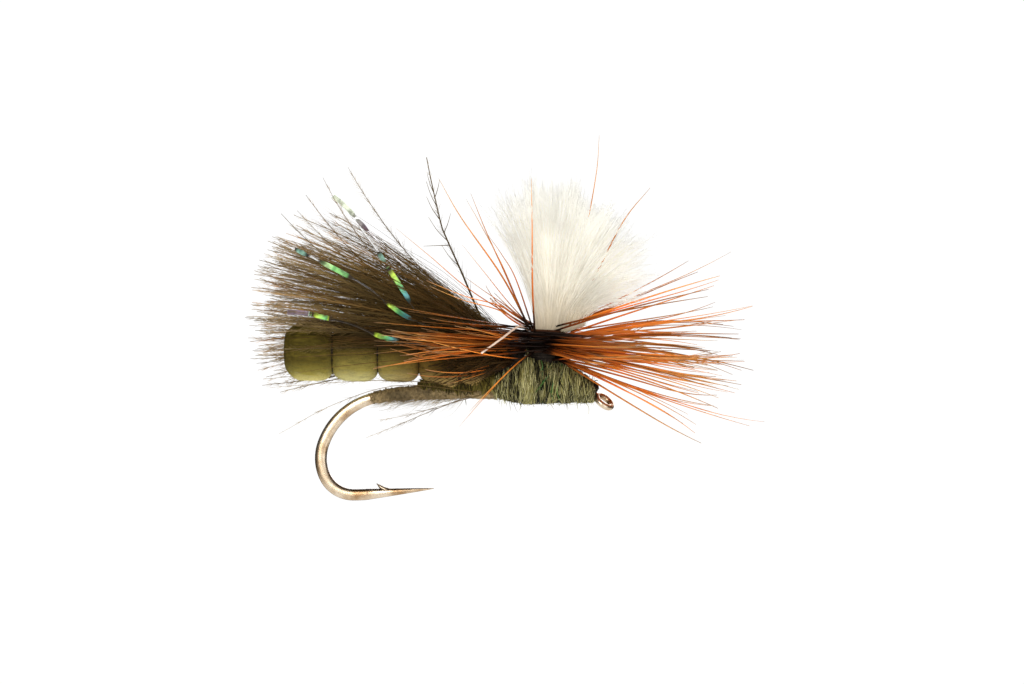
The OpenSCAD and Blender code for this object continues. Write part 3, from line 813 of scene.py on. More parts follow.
def down_barbs(rng, side, angle, share, y_tip, thick=1.0, along=(0.0, 1.0), arch=-0.30):
    """Stems of downy barbs that fan back from the wing's root, each at an angle above forward.

    share is their length as a share of the wing's, and along the span of the colour ramp they
    take. Returns their paths, the tubes, and each one's tone and kind."""
    count = len(angle)
    reach = WING_LEN * share * (1 - 0.00007 * (angle - WING_AXIS) ** 2)
    a = np.radians(angle)
    y_root = side * rng.uniform(0.15, 0.55, count) + rng.normal(0, 0.12, count)
    start = WING_ROOT + xyz(rng.normal(0.1, 0.25, count), y_root, rng.normal(-0.05, 0.22, count))
    end = xyz(WING_ROOT[0] + reach * np.cos(a), y_tip, WING_ROOT[2] + reach * np.sin(a))
    across = xyz(-np.sin(a), 0, np.cos(a))
    bow = across * rng.normal(arch, 0.22, count)[:, None]
    bow[:, 1] += side * rng.uniform(0.3, 0.7, count)
    path = bowed(start, end, bow, 14)
    t = np.linspace(0, 1, 14)
    wave = np.sin(3.5 * t + rng.uniform(0, 6, count)[:, None]) * 0.06 * t
    path += across[:, None] * wave[..., None]
    tip_bend = rng.normal(0.0, 0.25, count)[:, None] * np.clip(t - 0.75, 0, 1) ** 2 * 4
    path += across[:, None] * tip_bend[..., None]
    tone = rng.beta(1.3, 2.0, count)
    kind = rng.beta(0.6, 2.6, count)
    taper = np.interp(t, [0, 0.7, 1], [1, 0.8, 0.34])
    radius = 0.033 * thick * rng.uniform(0.75, 1.2, count)[:, None] * taper
    return path, tubes(path, radius, 4, tone=tone, kind=kind, along=np.linspace(*along, 14)), tone, kind


def haze(rng, side, low, high, count):
    """Very fine pale hairs that fill the wing's upper edge."""
    share = rng.uniform(0.45, 0.92, count)
    y_tip = side * rng.uniform(0.4, 2.6, count) + rng.normal(0, 0.4, count)
    angle = rng.uniform(low, high, count)
    return down_barbs(rng, side, angle, share, y_tip, thick=0.27, along=(0.5, 0.85))[1]


def plumes(rng, side, groups, per_path):
    """Barbs with brush-like side fibres. groups lists (low angle, high angle, count, share of length)."""
    parts = []
    for low, high, count, share in groups:
        angle = np.linspace(low, high, count) + rng.normal(0, (high - low) / count, count)
        y_tip = side * rng.uniform(0.9, 3.0, count) + rng.normal(0, 0.3, count)
        shares = rng.uniform(share - 0.10, share + 0.01, count)
        path, stems, tone, kind = down_barbs(rng, side, angle, shares, y_tip)
        parts.append(stems)
        brush, fuzz = int(per_path * 0.58), int(per_path * 0.42)
        parts.append(barbules(rng, path, brush, 0.18, (0.7, 1.4), (11, 5), 0.0098, tone, kind))
        parts.append(barbules(rng, path, fuzz, 0.30, (0.5, 1.2), (28, 10), 0.0056, tone, kind, light=0.40))
    return parts


def leaders(rng, side, tips):
    """Long plumes at the wing's upper edge, bare near their roots.

    tips lists (angle, share of the wing's length)."""
    angle, share = np.array(tips).T
    path, stems, tone, kind = down_barbs(rng, side, angle, share, side + 0 * angle, 0.9, (0.0, 0.75), 0.95)
    brush = barbules(rng, path, 75, 0.34, (0.5, 1.0), (11, 4), 0.0070, 0.7 * tone, kind)
    fuzz = barbules(rng, path, 75, 0.30, (0.5, 1.2), (30, 9), 0.0055, tone, kind, light=0.4)
    return [stems, brush, fuzz]


def loose_hairs(rng, routes):
    hairs = np.array([smooth_path(route, 16) for route in routes])
    return [
        tubes(hairs, 0.022 * np.linspace(1, 0.3, 16), 4, tone=0.7, along=np.linspace(0.5, 1, 16)),
        barbules(rng, hairs, 26, 0.25, (0.4, 0.9), (16, 6), 0.007, 0.8),
    ]


def skirt(rng, side):
    """Short down that lies over the foam's front end, from the wing's root down to the shank, kept to the
    dark root end of the colour ramp as painted shade under the wing and hackle.
    """
    count = 330
    foot = xyz(rng.uniform(-6.6, -4.6, count), side * rng.uniform(0.7, 1.25, count),
               rng.uniform(1.9, 3.1, count))
    angle = np.radians(rng.uniform(168, 212, count))
    reach = rng.uniform(1.2, 3.3, count)
    tip = foot + xyz(reach * np.cos(angle), side * rng.uniform(0.25, 0.75, count), reach * np.sin(angle))
    tip[:, 2] = np.maximum(tip[:, 2], 0.75)
    path = bowed(foot, tip, xyz(0, 0.30 * side, rng.normal(0, 0.15, count)), 7)
    thick = rng.uniform(0.020, 0.045, count)[:, None] * np.linspace(1, 0.3, 7)
    # Painted shade: only the dark part of the ramp is used.
    return tubes(path, thick, 4, tone=rng.beta(1.2, 2.2, count), kind=0.4 * rng.random(count),
                 along=np.linspace(0.05, 0.42, 7))


def make_wing():
    """Three feathers: the near one lies lowest, the middle one carries the long upper plumes."""
    rng = seeded("near")
    near = plumes(rng, -1, [(154, 174, 46, 1.0), (148, 154, 5, 0.93), (173, 178, 4, 1.0)], 120)
    low = rng.uniform(177, 187, 7)
    share, y_tip = rng.uniform(0.8, 1.0, 7), -rng.uniform(1.4, 2.4, 7)
    near.append(down_barbs(rng, -1, low, share, y_tip, 0.6, (0.1, 0.6))[1])
    # Short barbs over the foam, kept to the dark part of the ramp: painted shade under the wing.
    short = rng.uniform(160, 180, 210)
    share, y_tip = rng.uniform(0.35, 0.74, 210), -rng.uniform(1.0, 2.2, 210)
    near.append(down_barbs(rng, -1, short, share, y_tip, 0.8, (0, 0.42))[1])
    near.append(skirt(rng, -1))
    near += loose_hairs(rng, [
        [[-6.6, -0.9, 0.5], [-10.6, -1.2, 0.85], [-13.9, -1.5, -0.1], [-16.8, -1.8, -1.65]],
        [[-7.0, -0.8, 0.30], [-9.0, -1.1, -0.5], [-10.8, -1.3, -1.25], [-12.3, -1.5, -1.85]],
        [[-6.4, -0.7, 0.35], [-8.2, -1.0, -0.15], [-9.9, -1.2, -0.62], [-11.6, -1.4, -0.95]],
        [[-7.5, -0.9, 0.9], [-11.0, -1.7, 1.1], [-14.0, -2.1, 1.0], [-17.2, -2.6, 0.75]],
    ])
    build("wing_near", near, "feather_dark", "wing_feather_near")
    rng = seeded("middle")
    middle = plumes(rng, 0.15, [(155, 184, 58, 1.0), (148, 155, 6, 0.98)], 120)
    middle += leaders(rng, -0.6, [(131, 1.0), (137.5, 1.01), (142.5, 1.0), (147, 0.98), (149.5, 1.02)])
    middle.append(haze(rng, 0.2, 140, 160, 260))
    build("wing_middle", middle, "feather_dark", "wing_feather_middle")
    rng = seeded("far")
    far = plumes(rng, 1, [(154, 190, 54, 0.99), (144, 154, 5, 0.95)], 120)
    far.append(skirt(rng, 1))
    far.append(haze(rng, 1, 145, 190, 800))
    build("wing_far", far, "feather_dark", "wing_feather_far")


def make_stem_feather():
    """The feather tip that stands above the wing: a bare stem with barb stubs and fine down."""
    rng = seeded("stem")
    stem = smooth_path([[-6.2, 0.7, 4.0], [-6.6, 0.8, 4.8], [-7.4, 1.0, 6.7], [-8.2, 1.2, 8.5],
                        [-8.5, 1.3, 9.3], [-9.0, 1.5, 11.5], [-9.25, 1.6, 12.75]], 40)[None]
    stubs = []
    for share, dx, dz in ((0.36, -0.9, 1.1), (0.50, -1.35, -0.05), (0.53, -1.0, 1.25), (0.58, 0.35, 1.0),
                          (0.66, -0.7, 1.2), (0.72, -0.55, 1.3), (0.80, -0.35, 1.0), (0.78, 0.25, 0.9)):
        root = stem[0, int(share * 39)]
        middle = root + np.array([0.55 * dx, -0.1, 0.45 * dz])
        stubs.append(smooth_path([root, middle, root + np.array([dx, -0.2, dz])], 8))
    parts = [
        tubes(stem, 0.056 * np.linspace(1, 0.4, 40), 6, tone=0.35, along=np.linspace(0.35, 0.8, 40)),
        tubes(stubs, 0.022 * np.linspace(1, 0.4, 8), 4, tone=0.4, along=np.linspace(0.6, 0.9, 8)),
        barbules(rng, stem, 90, 0.05, (0.3, 0.9), (26, 8), 0.007, 0.8),
    ]
    build("stem_feather", parts, "feather_dark", "wing_stem_feather")


def make_wing_tie_in():
    """The wing's butts bound down behind the post, under crossed turns of dark thread."""
    rng = seeded("wing_tie")
    line = smooth_path([[-7.1, 0, 2.75], [-6.2, 0, 2.55], [-5.3, 0, 2.30], [-4.3, 0, 2.05]], 30)
    radius = np.interp(np.linspace(0, 1, 30), [0, 0.15, 0.4, 0.7, 1], [0.30, 0.62, 0.86, 0.92, 0.70])
    parts = [
        skin(rod(line, radius, 32), tone=0.1),
        windings(line[8:], radius[8:] - 0.01, 26, 0.040, rng, jitter=0.6, lean=0.10),
    ]
    build("wing_tie_thread", parts, "thread_dark", "wing_tie_in")


# ---------------------------------------------------------------- flash

# Each strand: its route, its depth, and where along X each colour of the film's ramp falls, which places
# its painted reflections.
STRANDS = {
    1: ([[-15.9, 7.85], [-14.9, 7.35], [-13.7, 6.75], [-12.2, 5.9], [-11.0, 4.95], [-10.2, 4.4],
         [-8.6, 3.7]], -3.1,
        [(-15.9, 0.2), (-15.75, 0.12), (-15.4, 0.13), (-15.2, 0.2), (-14.5, 0.3), (-14.3, 0.34),
         (-14.05, 0.36), (-13.9, 0.43), (-13.8, 0.39), (-13.3, 0.39), (-13.1, 0.47),
         (-11.25, 0.65), (-11.1, 0.7), (-10.6, 0.8), (-10.2, 0.86), (-9.9, 0.92)]),
    2: ([[-12.6, 9.0], [-11.8, 7.9], [-10.95, 6.6], [-10.3, 5.6], [-9.7, 4.7], [-8.4, 3.7]], -2.4,
        [(-12.6, 0.2), (-11.7, 0.2), (-11.5, 0.12), (-11.2, 0.2), (-11.1, 0.66), (-10.95, 0.7),
         (-10.5, 0.8), (-10.2, 0.86), (-10.0, 0.92)]),
    3: ([[-16.3, 4.62], [-15.4, 4.58], [-14.4, 4.35], [-13.0, 4.0], [-11.6, 3.4], [-10.4, 3.1],
         [-8.6, 2.95]], -2.8,
        [(-16.3, 0.014), (-15.2, 0.022), (-15.0, 0.66), (-14.8, 0.72), (-14.3, 0.8), (-14.0, 0.48),
         (-12.0, 0.62), (-11.8, 0.7), (-11.2, 0.8), (-10.9, 0.86), (-10.4, 0.92)]),
    4: ([[-14.1, 10.7], [-13.4, 10.1], [-12.6, 9.2], [-11.2, 7.8], [-9.2, 5.9]], 0.7,
        [(-14.1, 0.05), (-13.2, 0.05), (-13.0, 0.036), (-12.5, 0.022), (-12.3, 0.006), (-9.2, 0.0)]),
}
STRAND_HALF_W = 0.125
STRAND_HALF_T = 0.010
# The parts of the ramp that are dull: there the film turns edge on.
DULL_SPANS = ((-0.01, 0.012), (0.030, 0.042), (0.15, 0.30), (0.46, 0.67), (0.90, 1.01))


def make_flash():
    """The film strands: flat where they flash, and turned edge on where they are dull."""
    for i, (route, y, colours) in STRANDS.items():
        rng = seeded(f"flash{i}")
        count = 90
        flat = smooth_path(route, count)
        share = np.linspace(0, 1, count)
        depth = y * (1 - 0.35 * share) + 0.05 * np.sin(9 * share)
        line = xyz(flat[:, 0], depth, flat[:, 1])
        hue = np.interp(line[:, 0], *np.array(colours).T)
        edge_on = np.zeros(count)
        for low, high in DULL_SPANS:
            edge_on = np.where((hue > low) & (hue < high), 1.0, edge_on)
        edge_on = np.convolve(np.pad(edge_on, 2, mode="edge"), np.ones(5) / 5, mode="valid")
        twist = 0.4 * np.sin(share * 9 + i) * (1 - edge_on) + 1.25 * edge_on
        tangent = unit(np.gradient(line, axis=0))
        up = unit(np.cross(tangent, ACROSS))
        face = np.cross(up, tangent)
        wide = np.cos(twist)[:, None] * up + np.sin(twist)[:, None] * face
        thin = STRAND_HALF_T * np.cross(tangent, wide)
        wide = STRAND_HALF_W * wide
        rings = np.stack([line + a * wide + b * thin for a, b in ((1, 1), (1, -1), (-1, -1), (-1, 1))], 1)
        points, quads, tris, shade = skin(rings, tone=rng.uniform(0.4, 0.8))
        shade[: count * 4, 0] = np.repeat(hue, 4)
        shade[count * 4 :, 0] = hue[[0, -1]]
        shade[:, 2] = 1.0
        film = (points, quads, tris, shade)
        build(f"flash_film_{i}", [film], "pearl_film", f"flash_strand_{i}", smooth=False)


# ---------------------------------------------------------------- post

POST_X = -3.05
POST_TOP = 3.75
POST_R = 0.57
SHANK_TOP = 0.92


def make_post():
    """The yarn: fibres that rise side by side through the neck and flare into an uneven brush."""
    rng = seeded("post")
    count = 2900
    theta = np.where(rng.random(count) < 0.66, rng.normal(78, 15, count), rng.uniform(14, 114, count))
    theta = np.clip(theta, 13, 117)
    depth = rng.normal(0, 0.19, count)
    share = (66 - theta) / 52
    foot_a = rng.uniform(0, 2 * np.pi, count)
    foot_r = POST_R * np.sqrt(rng.random(count)) * 0.96
    foot = xyz(POST_X + 0.1 + 0.35 * share * POST_R + 0.7 * foot_r * np.cos(foot_a),
               foot_r * np.sin(foot_a), POST_TOP - 0.30)
    neck = foot + xyz(0.42 + np.where(share > 0, 1.10, 0.55) * share, 0.6 * depth, 0.50)
    reach = np.interp(theta, [14, 18, 32, 42, 58, 64, 83, 104, 114],
                      [5.3, 5.7, 6.4, 7.2, 7.0, 6.9, 7.45, 7.3, 6.8])
    tufts = 0.28 * rng.normal(size=26)
    reach = reach + np.interp(theta, np.linspace(13, 117, 26), tufts)
    reach = reach + rng.normal(0, 0.24, count) - rng.exponential(0.42, count) + 0.08
    a = np.radians(theta)
    end = xyz(POST_X + reach * np.cos(a), reach * depth * 1.15, POST_TOP + reach * np.sin(a))
    points = 11
    t = np.linspace(0, 1, points)[:, None]
    rise = xyz(0.25 * np.cos(a), 0, 1) * reach[:, None] * 0.34
    bend = neck + rise * rng.uniform(0.6, 1.1, count)[:, None]
    path = (1 - t) ** 2 * neck[:, None] + 2 * t * (1 - t) * bend[:, None] + t**2 * end[:, None]
    path = np.concatenate([foot[:, None], path], 1)
    t = np.linspace(0, 1, points + 1)
    for size, waves in ((0.07, 5), (0.03, 11)):
        push = rng.normal(0, size, (count, 1, 3))
        wobble = np.sin(waves * t + rng.uniform(0, 6, (count, 1)))
        path = path + push * (wobble * t**1.2)[..., None]
    path = path + rng.normal(0, 0.19, (count, 1, 3)) * (np.clip(t - 0.75, 0, 1) / 0.25)[:, None] ** 2
    taper = np.interp(t, [0, 0.2, 0.85, 1], [1.2, 1.1, 0.9, 0.35])
    thick = 0.0145 * rng.uniform(0.7, 1.3, count)[:, None] * taper
    parts = [tubes(path, thick, 3, tone=rng.random(count))]
    z = np.linspace(SHANK_TOP + 0.05, POST_TOP + 2.6, 16)
    r = np.interp(z, [SHANK_TOP, POST_TOP - 0.1, POST_TOP + 0.4, POST_TOP + 1.6, POST_TOP + 2.6],
                  [0.50, 0.50, 0.58, 0.60, 0.10])
    lean = 0.45 * np.clip(z - POST_TOP + 0.2, 0, 1.2)
    core = rod(xyz(POST_X + 0.1 + lean, 0, z), r, 24, across=AHEAD, up=ACROSS)
    points, quads, tris, shade = skin(core, tone=0.4)
    shade[:, 0] *= 0.35
    parts.append((points, quads, tris, shade))
    build("post_fibres", parts, "yarn_white", "post_yarn")


def make_post_wraps():
    """Thread wound up and down the foot of the post, over a plain core."""
    z = np.linspace(1.35, 3.72, 20)
    radius = np.interp(z, [1.35, 2.10, 2.42, 2.7, 3.1, 3.55, 3.72],
                       [0.66, 0.70, 0.92, 0.88, 0.76, 0.66, 0.60])
    parts = [skin(rod(xyz(POST_X, 0, z), radius - 0.01, 32, across=AHEAD, up=ACROSS), tone=0.1)]
    turn = np.linspace(0, 28 * 2 * np.pi, 720)
    for rise in (1, -1):
        path_z = np.linspace(1.40, 3.68, len(turn))[::rise]
        r = np.interp(path_z, z, radius) + 0.035 + 0.02 * np.sin(0.37 * turn)
        path = xyz(POST_X + r * np.cos(turn), rise * r * np.sin(turn), path_z)
        parts.append(tubes(path[None], 0.042, 5, tone=0.5, ref=WAY_UP))
    build("post_thread", parts, "thread_dark", "post_thread_wraps")


# ---------------------------------------------------------------- hackle

QUILL_R = 0.97
QUILL_TOP = 3.72
QUILL_LOW = 2.5


def make_quill():
    """The hackle's stem: its cut butt, and the turns that go down the post."""
    turns, per_turn = 4.5, 40
    t = np.linspace(0, 1, int(turns * per_turn) + 1)
    a = math.radians(200) + 2 * np.pi * turns * t
    drop = (QUILL_LOW - QUILL_TOP) * t
    helix = xyz(POST_X + QUILL_R * np.cos(a), QUILL_R * np.sin(a), QUILL_TOP + drop)
    butt = smooth_path([[-6.35, -3.0, 2.52], [-5.3, -2.2, 3.28], [-4.45, -1.3, 3.88], helix[0]], 24)
    path = np.vstack([butt[:-1], helix])
    thick = np.interp(np.arange(len(path)), [0, 20, 60, len(path)], [0.055, 0.055, 0.085, 0.06])
    build("quill", [tubes(path[None], thick, 10, ref=WAY_UP)], "quill", "hackle_quill")


HUB = np.array([POST_X, 0, 3.0])
HUB_LOW = 2.15
HUB_HIGH = 3.90


def barbs(rng, clumps, spread=1.0, dark=1.0, curl=1.0, ragged=0.14, level=0.5):
    """Barbs that leave the wound quill in clumps, each (azimuth, elevation, reach, count).

    spread is their scatter in degrees, and ragged how much their lengths differ. dark above 1 carries
    their dark roots, painted shade at the hub, further out; curl bends their tips, and level is their
    usual tone."""
    table = np.array(clumps, float)
    which = np.repeat(np.arange(len(clumps)), table[:, 3].astype(int))
    az, el, length = table[which, :3].T
    count = len(which)
    az = az + rng.normal(0, spread * 1.5, count)
    el = el + rng.normal(0, spread, count)
    length = length * rng.uniform(1 - ragged, 1.0, count)
    turn = rng.normal(16, 9, len(clumps))[which] + rng.normal(0, 6, count)
    out = polar(az - turn, 0)
    height = 0.5 + el / 46 + rng.normal(0, 0.10, len(clumps))[which] + rng.normal(0, 0.07, count)
    start = np.array([POST_X, 0, HUB_LOW]) + 0.9 * QUILL_R * out
    start[:, 2] += (HUB_HIGH - HUB_LOW) * np.clip(height, 0, 1)
    end = HUB + polar(az, el) * length[:, None]
    run = unit(end - start)
    side = unit(np.cross(run, WAY_UP))
    common = rng.normal(0, 0.20, (len(clumps), 2))[which]
    bow = side * (common[:, :1] + rng.normal(0, 0.07, (count, 1)))
    bow = bow + WAY_UP * (common[:, 1:] + rng.normal(0, 0.06, (count, 1)))
    path = bowed(start, end, bow, 16)
    t = np.linspace(0, 1, 16)
    bend = 0.45 * curl * rng.normal(0.25, 0.35, count)[:, None] * (np.clip(t - 0.65, 0, 1) / 0.35) ** 2
    path[..., 2] += bend
    path += side[:, None] * (bend * rng.normal(0, 0.8, count)[:, None])[..., None]
    taper = np.interp(t, [0, 0.12, 0.45, 0.8, 1], [1.0, 1.0, 0.80, 0.48, 0.24])
    thick = rng.uniform(0.055, 0.115, count)[:, None] * taper
    tone = np.clip(rng.normal(level, 0.16, len(clumps))[which] + rng.normal(0, 0.20, count), 0, 1)
    kind = rng.beta(0.5, 2.2, count)
    return tubes(path, thick, 5, tone=tone, kind=kind, flat=0.55, along=t**dark)


def scattered(rng, azimuths, elevation, reach, clumps, size):
    """Clumps at random azimuths, elevations and reaches."""
    return [(rng.uniform(*azimuths), rng.normal(*elevation), rng.uniform(*reach), int(rng.integers(*size)))
            for _ in range(clumps)]


def strays(rng, routes, thick, tones, dark=1.0):
    """Single barbs along given routes from the hub outwards. dark is as in barbs."""
    t = np.linspace(0, 1, 24)
    paths = [smooth_path(route, 24) for route in routes]
    radius = thick * np.interp(t, [0, 0.12, 0.5, 0.85, 1], [1.0, 1.0, 0.75, 0.38, 0.16])
    kind = rng.uniform(0.25, 0.8, len(routes))
    return tubes(paths, radius, 5, tone=tones, kind=kind, flat=0.7, along=t**dark)


# Clumps of barbs: (azimuth, elevation, reach, count).
FRONT_CLUMPS = [
    (14, 25.5, 11.2, 2), (-10, 20, 10.6, 3), (-24, 16, 9.6, 2), (-8, 9.5, 11.0, 3), (12, 5, 11.3, 4),
    (-18, 7.5, 10.8, 2), (26, 11, 10.6, 2), (-5, 1, 10.6, 5), (16, -3.5, 10.8, 6), (-14, -5, 10.9, 8),
    (-28, -2, 10.6, 5), (4, -8, 11.0, 8), (-20, -11, 10.8, 7), (24, -9, 10.6, 5), (10, -13.5, 10.7, 5),
    (-8, -16, 10.7, 4), (-26, -17, 10.5, 4), (14, -20, 10.2, 3), (-6, -21.5, 12.2, 2), (-20, -25, 10.2, 2),
    (8, -29, 9.4, 2), (-12, -32, 9.8, 1), (6, 29.5, 9.6, 1), (34, 2, 10.6, 5), (40, -6, 10.4, 4),
    (-38, -6, 10.5, 5),
]
REAR_CLUMPS = [
    (172, 3, 9.6, 7), (186, 5.5, 9.4, 7), (194, 1, 9.2, 7), (178, -2.5, 8.6, 5), (204, 4, 9.8, 7),
    (160, 5, 9.2, 6), (210, -4, 9.6, 4), (198, -13.5, 8.8, 3), (190, 9, 6.4, 5), (168, 12, 5.6, 4),
    (216, 9, 9.0, 4), (148, 0, 9.2, 6), (206, -18, 6.8, 2), (222, -1, 9.8, 4), (200, 7, 8.0, 6),
    (184, -8, 7.4, 3), (140, 6, 9.6, 5), (212, 2, 9.8, 4),
]
# Single barbs: (thickness, tone, route from the hub outwards).
LONE_BARBS = [
    (0.050, 0.5, [[-2.3, 0.5, 3.8], [-1.25, 0.1, 7.4], [-0.45, -1.2, 11.6], [-0.28, -1.6, 13.75]]),
    (0.062, 0.35, [[-2.1, 0.5, 3.8], [-0.9, 0.2, 5.6], [0.9, -1.2, 9.2], [2.35, -1.7, 11.05]]),
    (0.054, 0.8, [[-3.6, -0.9, 3.6], [-3.72, -1.3, 6.0], [-3.74, -1.8, 9.0], [-3.78, -2.3, 11.5]]),
    (0.056, 0.55, [[-3.8, -0.7, 3.7], [-5.3, -1.3, 6.5], [-7.4, -1.9, 9.5], [-8.55, -2.2, 11.5]]),
    (0.050, 0.5, [[-3.9, 0.5, 3.8], [-5.1, 1.2, 6.6], [-6.1, 1.8, 8.8], [-6.95, 2.3, 10.9]]),
    (0.044, 0.3, [[-3.7, -0.5, 3.8], [-4.6, -0.8, 6.4], [-5.3, -1.0, 7.6], [-6.0, -1.2, 8.6]]),
    (0.038, 0.5, [[-3.9, 0.7, 3.7], [-5.2, 1.3, 6.9], [-6.4, 1.7, 9.2], [-7.2, 2.0, 10.6]]),
    (0.048, 0.5, [[-3.8, -0.7, 3.8], [-6.9, -1.9, 5.75], [-9.0, -2.6, 7.5], [-10.7, -3.1, 8.9]]),
    (0.040, 0.6, [[-3.8, 0.7, 3.9], [-5.0, 1.2, 5.2], [-6.2, 1.6, 6.7], [-7.4, 2.0, 8.2]]),
    (0.046, 0.3, [[-3.9, 0.4, 3.9], [-5.0, 0.8, 4.9], [-6.3, 1.2, 5.8], [-7.4, 1.5, 6.6]]),
    (0.052, 0.85, [[-3.8, -0.6, 4.0], [-5.4, -1.3, 4.95], [-7.2, -2.0, 5.45], [-9.2, -2.6, 6.25]]),
    (0.050, 0.75, [[-3.9, -0.8, 3.9], [-5.5, -1.5, 4.75], [-7.3, -2.2, 5.25], [-9.0, -2.8, 5.95]]),
    (0.054, 0.6, [[-3.7, -0.9, 2.6], [-4.5, -1.7, 2.0], [-5.8, -2.8, 0.75], [-6.95, -3.7, -0.45]]),
    (0.036, 0.6, [[-3.7, -0.9, 2.5], [-4.7, -1.7, 1.85], [-6.1, -2.9, 0.35], [-7.5, -4.0, -1.25]]),
    (0.046, 1.0, [[-4.0, -1.0, 2.2], [-5.5, -2.4, 2.35], [-7.5, -3.4, 2.75], [-9.6, -4.0, 3.3]]),
]
# Barbs that cross in front of the hub, with low tones and long dark roots as painted shade there: (way
# along X, height at the hub, how far the tip falls).
CROSSING_BARBS = [
    (1, 3.6, 1.0), (1, 3.25, 1.6), (1, 2.9, 2.2), (1, 2.75, 1.1), (1, 3.45, 0.3),
    (-1, 3.5, -0.6), (-1, 3.1, 0.2), (-1, 2.85, -0.3), (-1, 2.7, 0.9), (-1, 3.3, 0.8),
]
# Their common route: (distance from the post along X, Y, share of the fall).
CROSSING_STEPS = [
    (-0.95, -0.55, 0.0), (0.1, -1.25, 0.02), (1.6, -1.6, 0.16), (5.0, -2.4, 0.5), (8.8, -3.1, 1.0),
]


def make_hackle():
    """The one feather's barbs, in five groups by the direction they point in."""
    front = [barbs(seeded("front"), FRONT_CLUMPS, spread=0.65, dark=0.68, ragged=0.18)]
    build("barbs_front", front, "barb_ginger", "hackle_barbs_front")

    rear = [barbs(seeded("rear"), REAR_CLUMPS, spread=1.5, dark=1.1, curl=0.4, ragged=0.45, level=0.08)]
    build("barbs_rear", rear, "barb_ginger", "hackle_barbs_rear")

    rng = seeded("near side")
    left = scattered(rng, (197, 217), (-1, 6), (9.2, 10.4), 8, (2, 4))
    right = scattered(rng, (288, 322), (-5, 6), (9.2, 10.4), 7, (3, 5))
    near = [
        barbs(rng, left, spread=1.4, dark=1.5, curl=0.25, ragged=0.3, level=0.12),
        barbs(rng, right, dark=1.05, curl=0.2, level=0.3),
    ]
    build("barbs_near", near, "barb_ginger", "hackle_barbs_near")

    rng = seeded("far side")
    far = [barbs(rng, scattered(rng, (50, 130), (0, 8), (9.2, 10.3), 16, (3, 6)))]
    build("barbs_far", far, "barb_ginger", "hackle_barbs_far")

    rng = seeded("upright")
    thick, tones, routes = zip(*LONE_BARBS)
    crossing = [[[POST_X + way * x, y, height - drop * fall] for x, y, fall in CROSSING_STEPS]
                for way, height, drop in CROSSING_BARBS]
    upright = [
        strays(rng, routes, np.array(thick)[:, None], tones),
        # Painted shade: low tones and long dark roots darken the hub.
        strays(rng, crossing, 0.070, rng.uniform(0.0, 0.30, len(crossing)), dark=1.9),
    ]
    build("barbs_upright", upright, "barb_ginger", "hackle_barbs_upright")


# ---------------------------------------------------------------- head


def make_head():
    """The collar of thread behind the eye, over a plain core."""
    rng = seeded("head")
    tilt = math.radians(32)
    axis = math.cos(tilt) * AHEAD - math.sin(tilt) * WAY_UP
    s = np.linspace(-0.32, 0.34, 20)
    line = np.array([-0.72, 0, 0.6]) + s[:, None] * axis
    radius = np.interp(s, [-0.32, -0.1, 0.16, 0.28, 0.34], [0.44, 0.46, 0.46, 0.38, 0.28])
    up = math.sin(tilt) * AHEAD + math.cos(tilt) * WAY_UP
    parts = [
        skin(rod(line, radius - 0.02, 32, up=up), tone=0.2),
        windings(line, radius - 0.03, 10, 0.036, rng, jitter=0.4, lean=0.03),
    ]
    build("head_wraps", parts, "thread_dark", "head_thread")


# ---------------------------------------------------------------- stage

VIEW_W = 53.2
VIEW_CENTRE = Vector((-4.78, 0.0, 3.09))
LENS = 150.0
SENSOR = 36.0
LIGHT_AIM = Vector((-5, 0, 3))
FLOOR_DROP = 14.0
FLOOR_X = -5.0
FLOOR_R = 48.0


def make_camera():
    data = bpy.data.cameras.new("camera")
    data.lens = LENS
    data.sensor_width = SENSOR
    data.clip_start = 0.005
    data.clip_end = 10.0
    camera = add_object("camera", data)
    distance = VIEW_W * LENS / SENSOR
    camera.location = (VIEW_CENTRE - Vector((0, distance, 0))) * MM
    camera.rotation_euler = (math.pi / 2, 0, 0)
    bpy.context.scene.camera = camera


def area_light(name, place, size, power, colour=(1, 1, 1)):
    data = bpy.data.lights.new(name, "AREA")
    data.shape = "DISK"
    data.size = size * MM
    data.energy = power
    data.color = colour
    light = add_object(name, data)
    light.location = Vector(place) * MM
    light.rotation_euler = (LIGHT_AIM - Vector(place)).to_track_quat("-Z", "Y").to_euler()


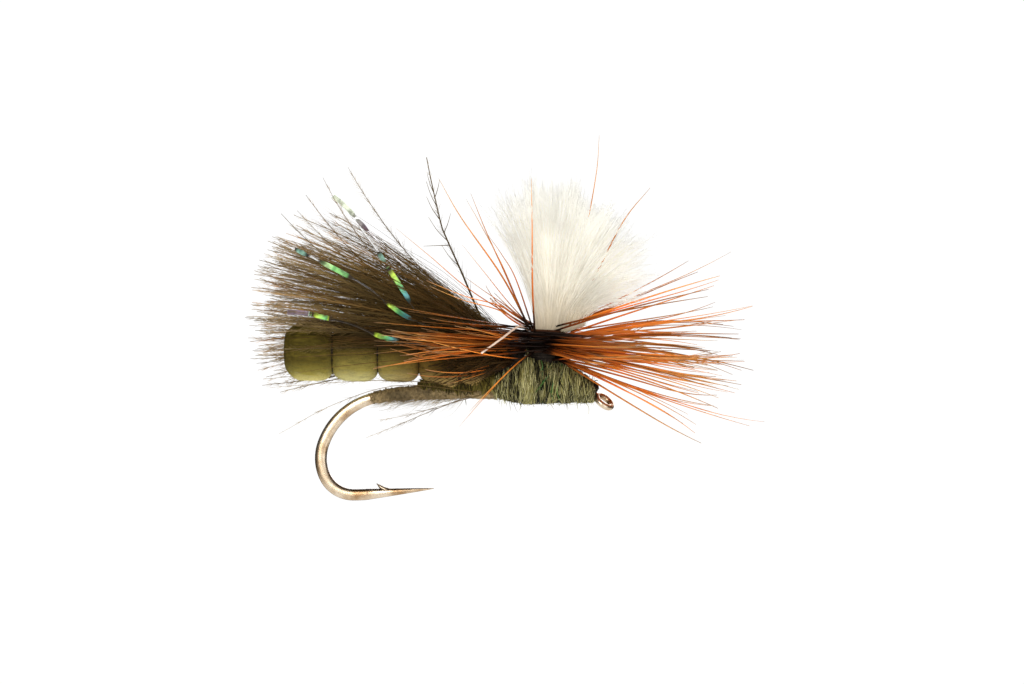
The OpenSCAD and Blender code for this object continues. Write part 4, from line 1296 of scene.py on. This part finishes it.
def make_floor():
    turn = full_turn(96)
    floor_z = cad_box[0][2] / MM - FLOOR_DROP
    ring = xyz(FLOOR_X + FLOOR_R * np.cos(turn), FLOOR_R * np.sin(turn), floor_z)
    mesh = bpy.data.meshes.new("floor")
    mesh.from_pydata((ring * MM).tolist(), [], [list(range(len(ring)))])
    n = Nodes("pale_floor")
    tint = n.ramp(n.noise(0.02, 2.0), [(0.3, grey(0.92)), (0.7, grey(0.95))])
    n.set(Base_Color=tint, Roughness=0.9, Emission_Color=tint, Emission_Strength=0.75)
    mesh.materials.append(n.owner)
    floor = add_object("floor", mesh)


def make_world():
    """A white sheet to the camera; to everything else a bright front and table under a dark roof."""
    n = Nodes("studio", bpy.data.worlds)
    place = n.add("ShaderNodeTexCoord").outputs["Generated"]
    _, y, z = n.add("ShaderNodeSeparateXYZ", {"Vector": place}).outputs
    front = n.scaled(n.math("MULTIPLY_ADD", z, 0.3, y), -0.62, -0.98, 0.0, 0.80, "SMOOTHSTEP")
    table = n.scaled(z, -0.10, -0.7, 0.08, 0.50, "SMOOTHSTEP")
    studio = n.tree.nodes["Background"]
    studio.inputs["Color"].default_value = (1.0, 0.98, 0.94, 1)
    n.link(n.math("ADD", front, table), studio.inputs["Strength"])
    sheet = n.add("ShaderNodeBackground", {"Color": (1, 1, 1, 1), "Strength": 1.05})
    seen = n.add("ShaderNodeMixShader", {"Fac": n.add("ShaderNodeLightPath").outputs["Is Camera Ray"]})
    n.link(studio.outputs[0], seen.inputs[1])
    n.link(sheet.outputs[0], seen.inputs[2])
    n.link(seen.outputs[0], n.tree.nodes["World Output"].inputs["Surface"])
    bpy.context.scene.world = n.owner


def make_stage():
    make_floor()
    make_world()
    bpy.context.scene.view_settings.view_transform = "Standard"
    area_light("key", (-50, -180, 55), 90, 0.24, (1.0, 0.97, 0.93))
    area_light("fill", (110, -150, -10), 120, 0.08, (0.97, 0.98, 1.0))
    area_light("back", (30, 150, 50), 120, 0.22)


make_camera()
make_stage()
make_hook()
make_thread_base()
make_abdomen()
make_ribs()
make_tie_in()
make_thorax()
make_wing()
make_stem_feather()
make_wing_tie_in()
make_flash()
make_post()
make_post_wraps()
make_quill()
make_hackle()
make_head()
